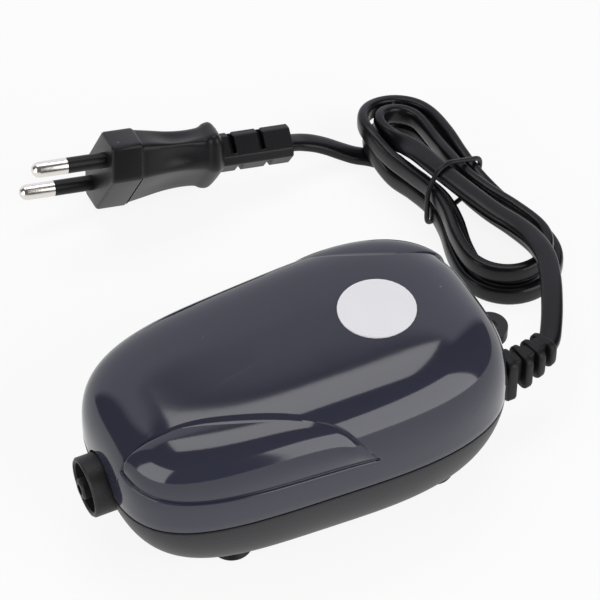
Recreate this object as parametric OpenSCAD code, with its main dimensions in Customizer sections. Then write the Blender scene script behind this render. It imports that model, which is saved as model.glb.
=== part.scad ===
// Aquarium air pump: moulded two-part case, vibrating arm, diaphragm and flap valves,
// mains lead tied in a hank, two-pin plug. Millimetres, +Z up, outlet towards -X.

/* [Case] */
// Length of the moulded case
body_l = 96; // [90:1:110]
// Width of the moulded case at its middle
body_w = 57; // [54:1:64]
// How much wider the rear is than the middle, as a share
rear_flare = 0.05; // [0:0.01:0.1]
// Squareness of the front of the plan outline
front_n = 3.5; // [2.6:0.1:4]
// Squareness of the rear of the plan outline
rear_n = 3.2; // [2.6:0.1:4]
// Height of the parting line above the table
part_z = 22.3; // [21:0.1:25]
// Height of the dome above the parting line at mid length
dome_h = 22.2; // [20:0.1:27]
// How much the dome rises towards the rear, as a share
dome_rise = 0.09; // [0:0.01:0.12]
// Fullness of the dome in plan
dome_p = 5.1; // [3.5:0.1:6]
// Fullness of the dome in height
dome_q = 3.5; // [2.5:0.1:4]
// Wall of the top shell
shell_wall = 2; // [1.6:0.1:2.4]
// Wall of the base
base_wall = 1.8; // [1.4:0.1:2.2]
// Open shadow line between the two halves
part_gap = 0.3; // [0.2:0.05:0.5]

/* [Leaf panels] */
// Depth of the sunk leaf panels
leaf_depth = 0.7; // [0.3:0.1:1]
// Distance of the leaf's front edge from the centre line
leaf_y = 9; // [8.5:0.1:11]
// How far the arch swings out towards the side
leaf_swing = 19; // [17:0.5:20]
// Distance from mid length to where the arch starts to swing
leaf_start = 40.8; // [38:0.2:42]
// Length over which the arch swings out
leaf_run = 44.4; // [42:0.2:47]
// Height of the lower leaf edge above the parting line, at the tip
leaf_low_tip = 10.3; // [9.5:0.1:11]
// Height of the lower leaf edge above the parting line, at its far end
leaf_low_end = 7.2; // [6:0.1:9]

/* [Outlet] */
// Outer diameter of the outlet collar
collar_d = 14.2; // [13.6:0.1:16]
// Inner diameter of the outlet collar
collar_bore = 11.8; // [11:0.1:12.2]
// How far the collar stands out of the case
collar_out = 4.2; // [3:0.1:7]
// Height of the outlet axis below the parting line
outlet_drop = 2; // [0.5:0.1:2.4]
// Diameter of the air spigot inside the collar
spigot_d = 5; // [4:0.1:6]
// Air bore of the spigot
spigot_bore = 2.6; // [2:0.1:3.2]
// How far the spigot stands ahead of the collar
spigot_out = 1; // [0:0.1:2]

/* [Base] */
// Height of the rubber feet
foot_h = 2.7; // [2:0.1:4]
// Diameter of the rubber feet
foot_d = 7; // [6:0.5:10]
// Position of the front feet from mid length
foot_front = 22.8; // [20:0.1:28]
// Position of the rear feet from mid length
foot_rear = 28.8; // [20:0.1:30]
// Position of the feet from the centre line
foot_y = 14; // [12:0.1:17]
// Outer diameter of the hanging eye
eye_d = 9; // [8:0.1:10]
// Hole of the hanging eye
eye_hole = 4; // [3.4:0.1:4.6]
// Thickness of the hanging eye
eye_t = 3; // [2:0.1:4]
// Distance of the eye's hole behind the case
eye_out = 4; // [4:0.1:5]
// Sideways position of the eye
eye_y = 3.3; // [0:0.1:4]
// Position of the case screws from mid length
screw_x = 35; // [33:0.5:36]
// Position of the case screws from the centre line
screw_y = 13; // [11:0.5:14]
// Shank diameter of the case screws
screw_d = 2.9; // [2.5:0.1:3.2]
// Head diameter of the case screws
screw_head = 5.6; // [5:0.1:6]
// Diameter of the intake filter
filter_d = 15; // [12:0.5:16]

/* [Drive] */
// Half of the arm's working angle
arm_swing = 2.5; // [1:0.5:3]
// Height of the arm above the case floor
arm_rise = 20; // [19:0.1:21]
// Arm width
arm_w = 10; // [8:0.5:12]
// Arm thickness
arm_t = 3; // [2:0.1:3.4]
// Diameter of the pivot pin
pivot_d = 3; // [2.5:0.1:3.5]
// Running clearance of the pivot, on the radius
pivot_gap = 0.05; // [0.02:0.01:0.1]
// Air gap between magnet and core
magnet_gap = 2; // [1.5:0.1:3]
// Thickness of the core's laminations stack
stack_t = 14; // [12:0.5:16]
// Width of the core's outer legs
core_leg = 5; // [4:0.1:5]

/* [Valves] */
// Length of the valve chamber along the case
chamber_l = 22; // [22:0.5:24]
// Width of the valve chamber
chamber_w = 22; // [22:0.5:24]
// Height of the valve chamber
chamber_h = 12; // [12:0.2:13]
// Diameter of the pumping cavity
cavity_d = 16; // [15:0.5:17]
// Thickness of the valve flaps
flap_t = 0.8; // [0.6:0.1:1]
// Diameter of the flap's hinge bead
bead_d = 1.2; // [1:0.1:1.4]

/* [Cord and plug] */
// Width of the flat cord
cord_w = 5.2; // [4.8:0.1:5.4]
// Thickness of the flat cord
cord_t = 3; // [2.6:0.1:3.2]
// Step between neighbouring loops of the hank
loop_step = 4.2; // [3.7:0.1:4.2]
// Bend radius of the innermost loop
loop_r = 5; // [4.4:0.1:5.4]
// Half length of the straight part of a loop
loop_half = 24; // [22:1:28]
// Diameter of the plug pins
pin_d = 4; // [3.8:0.1:4.8]
// Length of the plug pins
pin_l = 19; // [18:0.5:20]
// Spacing of the plug pins
pin_gap = 18.2; // [17.5:0.1:19]
// Length of the insulating sleeves
sleeve_l = 10; // [8:0.5:11]
// Half width of the plug's face
plug_half_w = 17.9; // [16:0.1:18.2]
// Thickness of the plug
plug_t = 13.7; // [13:0.1:14.4]
// Length of the plug's front flange
plug_flange = 8; // [6:0.5:9]
// Length of the plug without its strain relief
plug_l = 31; // [29:0.5:33]
// Length of the plug's strain relief
plug_tail = 19.5; // [17:0.5:21]

/* [Hidden] */
$fn = 48;
fit = 0.05;

// Overall placing: the origin is under the middle of the case with its collar and eye
eye_reach = eye_out + eye_d / 2;
case_x = (collar_out + spigot_out - eye_reach) / 2;
floor_z = foot_h + base_wall;
outlet_z = part_z - outlet_drop;
front_x = case_x - body_l / 2;
rear_x = case_x + body_l / 2;

// Outline of the case in plan, as a distance from its middle in each direction
function plan_w(t) = body_w / 2 * (1 + rear_flare * cos(t));
function plan_n(t) = cos(t) < 0 ? front_n : rear_n;
function plan_sum(t, n) = pow(2 * abs(cos(t)) / body_l, n) + pow(abs(sin(t)) / plan_w(t), n);
function plan_r(t) = pow(plan_sum(t, plan_n(t)), -1 / plan_n(t));

// Dome: v runs from 0 at the parting line to 90 at the top
function dome_at(x) = dome_h * (1 + 2 * dome_rise * x / body_l);
function dome_share(v) = pow(max(cos(v), 0), 2 / dome_p);
function dome_pt(t, v) = let (r = plan_r(t) * dome_share(v), x = r * cos(t))
    [case_x + x, r * sin(t), part_z + dome_at(x) * pow(max(sin(v), 0), 2 / dome_q)];
function share_v(share) = acos(pow(min(share, 1), dome_p / 2));
function rise_v(t, rise) = asin(pow(min(rise / dome_at(plan_r(t) * cos(t)), 1), dome_q / 2));
function unit(a) = a / norm(a);
function dome_out(t, v) = unit(cross(dome_pt(t + 0.2, v) - dome_pt(t - 0.2, v),
    dome_pt(t, v + 0.2) - dome_pt(t, v - 0.2)));
function dome_in(t, v, depth) = dome_pt(t, v) - depth * dome_out(t, max(v, 0.4));

// Opening in the rim: the outlet at the front
notch_gap = 0.4;
outlet_r = collar_d / 2 + notch_gap;
outlet_half = sqrt(pow(outlet_r, 2) - pow(outlet_drop, 2));
function circle_rise(d, r) = sqrt(max(r * r - d * d, 0));
function rim_rise(p) = p[0] < case_x ? max(circle_rise(p[1], outlet_r) - outlet_drop, 0) : 0;
function in_notch(p) = p[0] < case_x && abs(p[1]) < outlet_half + 0.01;
function rim_drop(p) = in_notch(p) ? circle_rise(p[1], outlet_r) + outlet_drop : 0;

// Columns that follow one leaf, as [angle, v of the arch, v of the lower edge, share of the depth]
arch_cols = 13;
arch_end_x = 1.4;
leaf_end_x = 7.3;
leaf_tip_x = 44.8;
end_cols = 3;
tip_sliver = 3;
function arch_y(x) = leaf_y + leaf_swing * pow(max(0, x + leaf_start) / leaf_run, 2);
function low_rise(f) = leaf_low_tip + (leaf_low_end - leaf_low_tip) * f;
function leaf_col(t, v, f, depth, turn) = let (low = rise_v(t + turn, low_rise(f)))
    [t + turn, max(v, low + tip_sliver), low, depth];
function arch_col(x, f, turn) = let (y = arch_y(x), t = 180 + atan2(y, -x))
    leaf_col(t, share_v(norm([x, y]) / plan_r(t + turn)), f, 1, turn);
tip_t = 180 + asin(leaf_y / (0.98 * body_l / 2));
end_t = 360 - atan2(plan_w(280), leaf_end_x);
function leaf_cols(turn) = let (last = arch_col(arch_end_x, 0.85, turn),
        low = rise_v(end_t + turn, leaf_low_end))
    concat([leaf_col(tip_t, 0, 0, 0, turn)],
        [for (i = [0 : arch_cols - 1]) let (f = i / (arch_cols - 1))
            arch_col(-leaf_tip_x + (arch_end_x + leaf_tip_x) * f, 0.85 * f, turn)],
        [for (i = [1 : end_cols]) let (f = i / end_cols)
            [last[0] + (end_t + turn - last[0]) * f, max(last[1] + (low - last[1]) * f, low + tip_sliver),
                rise_v(end_t + turn, low_rise(0.85 + 0.15 * f)), f < 1 ? 1 : 0]]);

// Plain columns between the leaves, with close ones round the rim's openings
function plain_col(t) = let (low = rise_v(t, leaf_low_end)) [t, low + tip_sliver, low, 0];
function spread(a, b, n) = [for (i = [1 : n]) a + (b - a) * i / (n + 1)];
notch_cols = 12;
outlet_t = [for (j = [0 : notch_cols]) 180 - asin(2 * outlet_half * cos(180 * j / notch_cols) / body_l)];
front_t = concat(spread(end_t - 180, outlet_t[0], 13), outlet_t);
rear_t = spread(end_t, tip_t + 180, 22);
COLS = concat(leaf_cols(0), [for (t = rear_t) plain_col(t)], leaf_cols(180),
    [for (t = front_t) plain_col(t + 360)]);

// Rings from the top of the dome down to its rim, and the shell's inner rings back up.
// Each ring keeps its own height, and only stops short where an edge of a leaf is in its way.
top_v = [78, 66, 55, 46, 38, 31, 25, 19.5, 15];
panel_v = [70, 58, 48, 39, 31, 24, 18, 13];
strip_steps = [0, 0.5, 1];
inner_steps = [0, 0.1, 0.25, 0.45, 0.7];
ring_close = 0.3;
bevel_v = 1.6;
function above(v, c, k) = max(v, c[1] + ring_close * (len(top_v) - k));
function inside(v, c, k) = let (n = len(panel_v), step = min(ring_close, (c[1] - c[2]) / (2 * n + 4)),
        bevel = min(bevel_v, (c[1] - c[2]) / 3))
    max(min(v, c[1] - bevel - step * (k + 1)), c[2] + step * (n + 1 - k));
leaf_bulge = 2;
leaf_wide = 30;
function leaf_in(c, v) = let (f = (c[1] - v) / (c[1] - c[2]), full = min((c[1] - c[2]) / leaf_wide, 1))
    leaf_depth * c[3] * (1 - leaf_bulge * full * sin(180 * f));
function bevel_in(c) = c[1] - min(bevel_v, (c[1] - c[2]) / 3);
function rim_v(c) = rise_v(c[0], rim_rise(dome_pt(c[0], 0)));
function shell_rings() = concat(
    [for (k = [0 : len(top_v) - 1]) [for (c = COLS) dome_pt(c[0], above(top_v[k], c, k))]],
    [[for (c = COLS) dome_pt(c[0], c[1])]],
    [[for (c = COLS) dome_in(c[0], bevel_in(c), leaf_in(c, bevel_in(c)))]],
    [for (k = [0 : len(panel_v) - 1]) [for (c = COLS) let (v = inside(panel_v[k], c, k))
        dome_in(c[0], v, leaf_in(c, v))]],
    [for (s = strip_steps) [for (c = COLS) dome_pt(c[0], c[2] + (rim_v(c) - c[2]) * s)]],
    [for (s = inner_steps) [for (c = COLS) dome_in(c[0], rim_v(c) + (90 - rim_v(c)) * s, shell_wall)]]);

// A closed skin through a stack of rings that starts and ends in a point
module skin(rings, first, last) {
    n = len(rings[0]);
    m = len(rings);
    points = concat([first], [for (r = rings) each r], [last]);
    faces = concat(
        [for (i = [0 : n - 1]) [0, 1 + (i + 1) % n, 1 + i]],
        [for (k = [0 : m - 2], i = [0 : n - 1]) let (a = 1 + k * n + i, b = 1 + k * n + (i + 1) % n) each
            [[a, b, a + n], [b, b + n, a + n]]],
        [for (i = [0 : n - 1]) let (a = 1 + (m - 1) * n) [a + i, a + (i + 1) % n, m * n + 1]]);
    polyhedron(points, faces);
}

// Base: v runs from 0 at the rim to 90 underneath
base_p = 7.2;
base_q = 1.56;
base_h = part_z - foot_h;
base_rows = [0, 12, 26, 40, 53, 64, 73];
sole_share = 0.6;
function base_pt(t, v) = let (r = plan_r(t) * pow(max(cos(v), 0), 2 / base_p))
    [case_x + r * cos(t), r * sin(t), part_z - base_h * pow(max(sin(v), 0), 2 / base_q)];
function base_out(t, v) = unit(cross(base_pt(t, v + 0.2) - base_pt(t, v - 0.2),
    base_pt(t + 0.2, v) - base_pt(t - 0.2, v)));
function base_in(t, v) = base_pt(t, v) - base_wall * base_out(t, max(v, 0.4));
function base_v(c) = asin(pow(max(rim_drop(base_pt(c[0], 0)), part_gap) / base_h, base_q / 2));
function base_step(c, v) = base_v(c) + (90 - base_v(c)) * v / 90;
function sole_ring(z, share) = [for (c = COLS) let (r = plan_r(c[0]) * share)
    [case_x + r * cos(c[0]), r * sin(c[0]), z]];
function base_rings() = concat([sole_ring(floor_z, sole_share - 0.02)],
    [for (k = [len(base_rows) - 2 : -1 : 0]) [for (c = COLS) base_in(c[0], base_step(c, base_rows[k]))]],
    [for (v = base_rows) [for (c = COLS) base_pt(c[0], base_step(c, v))]],
    [sole_ring(foot_h, sole_share)]);

// Heights of the case at a point: the dome's outside and the base's outside and floor
function plan_share(x, y) = norm([x, y]) / plan_r(atan2(y, x));
function dome_z(x, y) = part_z + dome_at(x) * pow(1 - pow(plan_share(x, y), dome_p), 1 / dome_q);
function under_z(x, y) = part_z - base_h * pow(1 - pow(plan_share(x, y), base_p), 1 / base_q);
function floor_at(x, y) = max(floor_z, under_z(x, y) + 1.15 * base_wall);

// Place and sizes of the strain relief, which enters through the base's rear wall
relief_y = -7.5;
relief_drop = 5.1;
relief_z = part_z - relief_drop;
relief_off = 1.9;
relief_x = rear_x + relief_off;
bend_r = 32;
relief_bend = 24;
plate_t = 2.6;
plate_w = 6.8;
plate_h = 13;
plate_low = 1.4;
rib_t = 2;
rib_step = 3.6;
rib_w = [7.4, 7.3, 7.2];
rib_h = [10.2, 8.9, 7.6];
rib_low = [0.7, 0.35, 0];
spine_w = 3;
spine_h = 6.6;
neck_r = 3;
neck_play = 0.3;
neck_in = 5;
neck_flange = 8;
neck_flange_t = 1.2;

// Screw posts: the base carries a counterbored boss and the shell a post on top of it
boss_d = 7;
post_reach = 0.75 * boss_d / 2;
screw_play = 0.25;
head_t = 2;
head_well = 3;
screw_bite = 9;
boss_low = under_z(screw_x + post_reach, screw_y + post_reach) + base_wall / 2;
seat_z = boss_low + head_well;
function post_top(sx) = dome_z(sx * (screw_x + post_reach), screw_y + post_reach) - shell_wall / 2;
screw_top = part_z + screw_bite;
module at_screws() {
    for (sx = [-1, 1], sy = [-1, 1])
        translate([case_x + sx * screw_x, sy * screw_y, 0]) children();
}
module along_x(x, y, z) {
    translate([x, y, z]) rotate([0, 90, 0]) children();
}
module bar(low, high) {
    translate(low) cube(high - low);
}

module top_shell() {
    color("#4a4a56") difference() {
        union() {
            skin(shell_rings(), dome_pt(0, 90), dome_pt(0, 90) - [0, 0, shell_wall]);
            for (sx = [-1, 1], sy = [-1, 1])
                translate([case_x + sx * screw_x, sy * screw_y, part_z])
                    cylinder(d = boss_d, h = post_top(sx) - part_z);
        }
        at_screws() translate([0, 0, part_z - 1]) cylinder(r = screw_d / 2 + fit, h = screw_bite + 2);
    }
}

// Air intake through the base, under the felt filter
intake_ahead = 4;
intake_x = case_x + intake_ahead;
intake_d = 2;
intake_ring = 4.5;
intake_count = 6;
eye_x = rear_x + eye_out;
eye_top = part_z - part_gap;
module base() {
    color("#37373b") difference() {
        union() {
            skin(base_rings(), [case_x, 0, floor_z], [case_x, 0, foot_h]);
            at_screws() translate([0, 0, boss_low]) cylinder(d = boss_d, h = part_z - boss_low);
            translate([eye_x, eye_y, eye_top - eye_t]) cylinder(d = eye_d, h = eye_t);
            bar([rear_x - base_wall / 2, eye_y - eye_d / 2, eye_top - eye_t],
                [eye_x, eye_y + eye_d / 2, eye_top]);
        }
        at_screws() {
            cylinder(d = screw_head + 2 * screw_play, h = seat_z);
            cylinder(r = screw_d / 2 + screw_play, h = part_z + 1);
        }
        translate([eye_x, eye_y, eye_top - eye_t - 1]) cylinder(d = eye_hole, h = eye_t + 2);
        along_x(rear_x - base_wall - neck_in, relief_y, relief_z)
            cylinder(r = neck_r + neck_play, h = base_wall + neck_in + 2);
        translate([intake_x, 0, 0]) {
            cylinder(d = intake_d, h = floor_z + 1);
            for (i = [0 : intake_count - 1])
                rotate(360 * i / intake_count) translate([intake_ring, 0, 0])
                    cylinder(d = intake_d, h = floor_z + 1);
        }
    }
}

// Round label that lies on the dome
label_x = 20.5;
label_r = 9;
label_t = 0.35;
label_lift = 0.02;
label_cols = 36;
function label_ring(r, lift) = [for (i = [0 : label_cols - 1])
    let (a = -360 * i / label_cols, x = label_x + r * cos(a), y = r * sin(a))
    [case_x + x, y, dome_z(x, y) + lift]];
module label_disc() {
    color("#dedce2") skin([label_ring(label_r / 2, label_lift), label_ring(label_r, label_lift),
        label_ring(label_r, label_t), label_ring(label_r / 2, label_t)],
        [case_x + label_x, 0, dome_z(label_x, 0) + label_lift],
        [case_x + label_x, 0, dome_z(label_x, 0) + label_t]);
}

// Heights of the valve block, and the hose that lifts the air from it to the outlet
cover_t = 1.5;
pump_back = 15;
pivot_back = 31;
pump_x = case_x - pump_back;
block_z = floor_z + cover_t;
block_top = block_z + chamber_h;
stroke = (pivot_back - pump_back) * sin(arm_swing);
cavity_room = 3.9;
cavity_h = cavity_room + stroke;
wall_t = 2;
wall_top = block_top - cavity_h;
wall_low = wall_top - wall_t;
nipple_z = (block_z + wall_low) / 2;
lip_in = 4.8;
lip_x = front_x + lip_in;
lip_t = 1.2;
tube_bend = 75;
tube_turn = 5;
tube_face = pump_x - chamber_l / 2;
tube_end = lip_x + lip_t;
tube_up = outlet_z - nipple_z;
tube_mid = (tube_up - 2 * tube_turn * (1 - cos(tube_bend))) / sin(tube_bend);
tube_span = 2 * tube_turn * sin(tube_bend) + tube_mid * cos(tube_bend);
tube_run = (tube_face - tube_end - tube_span) / 2;
nipple_play = 0.2;

// Outlet: a collar held in the wall, with a web that carries the air spigot
collar_face = front_x - collar_out;
web_in = 1;
web_x = front_x + web_in;
web_t = 2;
lip_step = 0.6;
lip_d = collar_d + 2 * lip_step;
rim_round = 0.4;
hub_step = 0.4;
groove_in = 1.6;
groove_x = front_x + groove_in;
groove = 1;
rear_bore = 10;
module outlet_collar() {
    r = collar_d / 2;
    b = collar_bore / 2;
    hub = spigot_d / 2 + hub_step + fit;
    deep = lip_x + lip_t - collar_face;
    web = web_x - collar_face;
    color("#2d2d30") along_x(collar_face, 0, outlet_z) rotate_extrude() polygon([
        [b, rim_round], [b + rim_round, 0], [r - rim_round, 0], [r, rim_round],
        [r, groove_x - collar_face], [r - groove, groove_x - collar_face], [r - groove, lip_x - collar_face],
        [lip_d / 2, lip_x - collar_face], [lip_d / 2, deep], [rear_bore / 2, deep],
        [rear_bore / 2, web + web_t], [hub, web + web_t], [hub, web], [b, web]]);
}
spigot_face = collar_face - spigot_out;
spigot_end = tube_end + tube_run - nipple_play;
spigot_stop = 1.2;
stop_step = 1.6;
module outlet_spigot() {
    r = spigot_d / 2;
    b = spigot_bore / 2;
    stop = web_x + web_t - spigot_face;
    long = spigot_end - spigot_face;
    color("#28282b") along_x(spigot_face, 0, outlet_z) rotate_extrude() polygon([
        [b, 0], [r - rim_round, 0], [r, rim_round], [r, stop - web_t],
        [r + hub_step, stop - web_t], [r + hub_step, stop], [r + stop_step, stop],
        [r + stop_step, stop + spigot_stop], [r, stop + spigot_stop], [r, long], [b, long]]);
}

// Feet stand under the flat sole
module feet() {
    color("#1f1f21") for (x = [-foot_front, foot_rear], sy = [-1, 1])
        translate([case_x + x, sy * foot_y, 0])
            rotate_extrude() polygon([[0, 0], [foot_d / 2 - 0.5, 0], [foot_d / 2, 0.5],
                [foot_d / 2, foot_h], [0, foot_h]]);
}
module case_screws() {
    color("silver") at_screws() {
        translate([0, 0, seat_z - head_t]) cylinder(d = screw_head, h = head_t);
        translate([0, 0, seat_z]) cylinder(d = screw_d, h = screw_top - seat_z);
    }
}

// Strain relief: a plate, then a bent body with slots from both sides that leave a spine
function arc_deg(s) = s * 180 / (PI * bend_r);
module bent(from, to, w, h, corner) {
    x = w / 2;
    y = h / 2;
    c = corner;
    translate([relief_x, relief_y + bend_r, relief_z]) rotate(-90 + arc_deg(from))
        rotate_extrude(angle = arc_deg(to - from)) translate([bend_r, 0])
            polygon([[x, c - y], [x, y - c], [x - c, y], [c - x, y],
                [-x, y - c], [-x, c - y], [c - x, -y], [x - c, -y]]);
}
relief_l = bend_r * relief_bend * PI / 180;
relief_tip = [relief_x + bend_r * sin(relief_bend), relief_y + bend_r * (1 - cos(relief_bend)), relief_z];
module strain_relief() {
    n = len(rib_w);
    color("#2c2c30") {
        bar([relief_x, relief_y - plate_w / 2, relief_z - plate_low - plate_h / 2],
            [relief_x + plate_t, relief_y + plate_w / 2, relief_z - plate_low + plate_h / 2]);
        bent(0, relief_l, spine_w, spine_h, spine_w / 4);
        for (i = [0 : n - 1]) {
            end = relief_l - (n - 1 - i) * rib_step;
            translate([0, 0, -rib_low[i]]) bent(end - rib_t, end, rib_w[i], rib_h[i], rib_w[i] / 5);
        }
        along_x(rear_x - base_wall - neck_in, relief_y, relief_z) {
            cylinder(r = neck_r, h = relief_x - rear_x + base_wall + neck_in);
            cylinder(d = neck_flange, h = neck_flange_t);
        }
    }
}

// Flat cord swept through points; roll turns its width from level to upright
function heading(pts, i) = unit(pts[min(i + 1, len(pts) - 1)] - pts[max(i - 1, 0)]);
function cord_ring(p, dir, roll, sides, w, t) = let (side = unit(cross(dir, [0, 0, 1])),
        up = cross(side, dir),
        across = side * cos(roll) + up * sin(roll), over = up * cos(roll) - side * sin(roll))
    [for (k = [0 : sides - 1]) let (a = 360 * (k + 0.5) / sides, full = 1 / cos(180 / sides))
        p + across * (w / 2 * cos(a) * full) + over * (t / 2 * sin(a))];
module sweep(pts, rolls, sides, w, t, first, last) {
    end = len(pts) - 1;
    rings = [for (i = [0 : end])
        cord_ring(pts[i], i == 0 ? first : i == end ? last : heading(pts, i), rolls[i], sides, w, t)];
    skin(rings, pts[0], pts[end]);
}

// Hank: loops spiral out in the upper layer, step down along a run and spiral in again below
hank_at = [71.2, 60.7];
hank_turn = 7;
hank_low = 2.8;
layer_step = cord_w + 0.7;
loop_rings = 24;
hank_rings = 71;
low_more = 2.8;
waist_x = 2.6;
waist_step = 4.1;
waist_lift = 1.8;
tail_lift = 3.8;
tail_cross = [59, 86];
lift_spread = 8;
lift_more = 4;
climb_from = 31;
climb_to = 35;
climb_mid = (climb_from + climb_to) / 2;
function loop_s(u) = u % loop_rings;
function loop_turn(s) = s < 6 ? 180 - 30 * s : s < 12 ? 0 : s < 18 ? -30 * (s - 12) : -180;
function loop_mid(s) = s < 6 ? 1 : s < 12 ? 1 - (s - 6) / 3 : s < 18 ? -1 : -1 + (s - 18) / 3;
function loop_k(u) = min(u, 2 * climb_mid - u) / loop_rings;
function end_rad(u, m) = loop_r + (m < 0 ? low_more : 0) + loop_step * loop_k(u);
function loop_rad(u, m) = let (waist = waist_x + waist_step * loop_k(u))
    waist + (end_rad(u, m) - waist) * (1 - cos(180 * m)) / 2;
function hank_flat(u) = let (s = loop_s(u), m = loop_mid(s), a = loop_turn(s), r = loop_rad(u, m),
        x = r * cos(a), y = m * loop_half + r * sin(a))
    hank_at + [x * cos(hank_turn) - y * sin(hank_turn), x * sin(hank_turn) + y * cos(hank_turn)];
function hank_layer(u) = min(max((climb_to - u) / (climb_to - climb_from), 0), 1);
function hank_lift(p, layer) = let (far = lift_spread + lift_more * layer)
    tail_lift * exp(-pow(norm(p - tail_cross) / far, 2));
function hank_pt(u) = let (p = hank_flat(u), k = hank_layer(u), m = loop_mid(loop_s(u)))
    [p[0], p[1], hank_low + layer_step * k + max(hank_lift(p, k), waist_lift * (1 + cos(180 * m)) / 2)];
hank_pts = [for (u = [0 : hank_rings]) hank_pt(u)];
// Least gap between loops: level distance less the cord's thickness, or height less its width
function loop_gap(p, a, b) = let (ab = [b[0] - a[0], b[1] - a[1]], ap = [p[0] - a[0], p[1] - a[1]],
        f = min(max(ap * ab / (ab * ab), 0), 1))
    max(norm(ap - ab * f) - cord_t, abs(p[2] - a[2] - (b[2] - a[2]) * f) - cord_w);
near_rings = 9;
hank_gap = min([for (i = [0 : hank_rings], j = [0 : hank_rings - 1]) if (abs(i - j) > near_rings)
    loop_gap(hank_pts[i], hank_pts[j], hank_pts[j + 1])]);
echo(hank_gap = hank_gap);

upright = 90;
module cord_hank() {
    color("#303034") sweep(hank_pts, [for (p = hank_pts) upright], 6, cord_w, cord_t,
        heading(hank_pts, 0), heading(hank_pts, hank_rings));
}

// Lead: from the strain relief over the hank, down into its first loop
lead_pts = concat([relief_tip], [[63.4, -3, 17.3], [65.5, 0, 17.4], [67.9, 3.9, 17.4], [70.3, 8.2, 17.3],
    [72.6, 12.6, 17], [74.6, 17, 16.6], [76.4, 21.8, 16.1], [77.2, 26.8, 15.6], [77.1, 31.6, 15],
    [75.9, 36.6, 14.7], [73.5, 42.5, 14.7], [70.9, 50.2, 15.1], [68.8, 57.6, 15.3], [67.2, 64.4, 15.2],
    [66.3, 70, 14.6], [65.4, 75, 13.3], [64.4, 79.4, 11.9]], [hank_pts[0]]);
lead_roll = [0, 0, 0, 0, 0, 0, 0, 0, 0, 0, 0, 0, 0, 0, 4, 16, 40, 70, upright];
module cord_lead() {
    color("#303034") sweep(lead_pts, lead_roll, 8, cord_w, cord_t,
        [cos(relief_bend), sin(relief_bend), 0], heading(hank_pts, 0));
}

// Plug: its own frame has x along the pins' axis towards the cord, y across the pins
plug_at = [-10.1, 97.1, 16.4];
plug_tilt = [120.5, 6.7, -6.3];
module plug_frame() {
    translate(plug_at) rotate(plug_tilt) children();
}
function plug_pt(p) = let (a = plug_tilt, q = [p[0], p[1] * cos(a[0]) - p[2] * sin(a[0]),
        p[1] * sin(a[0]) + p[2] * cos(a[0])],
        w = [q[0] * cos(a[1]) + q[2] * sin(a[1]), q[1], q[2] * cos(a[1]) - q[0] * sin(a[1])])
    plug_at + [w[0] * cos(a[2]) - w[1] * sin(a[2]), w[0] * sin(a[2]) + w[1] * cos(a[2]), w[2]];
plug_dir = plug_pt([1, 0, 0]) - plug_at;
plug_end = plug_l + plug_tail;
plug_half_t = plug_t / 2;
// Sections of the moulded body: place along it, half width, corner of the flat sides, half thickness
flange = plug_flange / plug_l;
plug_secs = [[0, 1, 0.62, 1], [flange, 1, 0.62, 1], [flange + 0.02, 0.9, 0.58, 0.94], [0.4, 0.86, 0.55, 0.87],
    [0.55, 0.8, 0.5, 0.8], [0.7, 0.76, 0.46, 0.78], [0.81, 0.75, 0.44, 0.84], [0.88, 0.8, 0.43, 0.95],
    [0.94, 0.74, 0.38, 0.93], [1, 0.5, 0.28, 0.78]];
function plug_sec(k) = let (x = k[0] * plug_l, w = k[1] * plug_half_w, c = k[2] * plug_half_w,
        t = k[3] * plug_half_t)
    [[x, w, 0], [x, c, -t], [x, c / 3, -t], [x, -c / 3, -t], [x, -c, -t],
     [x, -w, 0], [x, -c, t], [x, -c / 3, t], [x, c / 3, t], [x, c, t]];
tail_w = 8.6;
tail_t = 8.8;
tail_chamfer = 1.6;
slot_w = 1.3;
slot_in = 2.6;
slot_step = 3.9;
module plug_body() {
    w = tail_w / 2;
    t = tail_t / 2;
    c = tail_chamfer;
    color("#26262a") plug_frame() difference() {
        union() {
            skin([for (k = plug_secs) plug_sec(k)], [0, 0, 0], [plug_l, 0, 0]);
            translate([plug_l - 1, 0, 0]) rotate([90, 0, 90]) linear_extrude(plug_tail + 1)
                polygon([[w - c, -t], [w, c - t], [w, t - c], [w - c, t],
                    [c - w, t], [-w, t - c], [-w, c - t], [c - w, -t]]);
        }
        for (i = [0 : 3]) {
            x = plug_l + 3 + i * slot_step;
            side = i % 2 == 0 ? 1 : -1;
            bar([x, min(side * w, side * (w - slot_in)) - (side < 0 ? 1 : 0), -t - 1],
                [x + slot_w, max(side * w, side * (w - slot_in)) + (side > 0 ? 1 : 0), t - slot_in]);
            bar([x + slot_step / 2, -w - 1, side > 0 ? t - slot_in : -t - 1],
                [x + slot_step / 2 + slot_w, w - slot_in, side > 0 ? t + 1 : slot_in - t]);
        }
    }
}
pin_core = pin_d - 1;
module at_pins() {
    plug_frame() for (sy = [-1, 1]) translate([0, sy * pin_gap / 2, 0]) rotate([0, -90, 0]) children();
}
module pin_sleeves() {
    color("#1e1e20") at_pins() difference() {
        cylinder(d = pin_d, h = sleeve_l);
        translate([0, 0, -1]) cylinder(r = pin_core / 2 + fit, h = sleeve_l + 2);
    }
}
module plug_pins() {
    r = pin_d / 2;
    color("silver") at_pins() rotate_extrude() polygon([[0, 0], [pin_core / 2, 0], [pin_core / 2, sleeve_l],
        [r, sleeve_l], [r, pin_l - r], [0.87 * r, pin_l - r / 2], [r / 2, pin_l - 0.13 * r], [0, pin_l]]);
}

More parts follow.
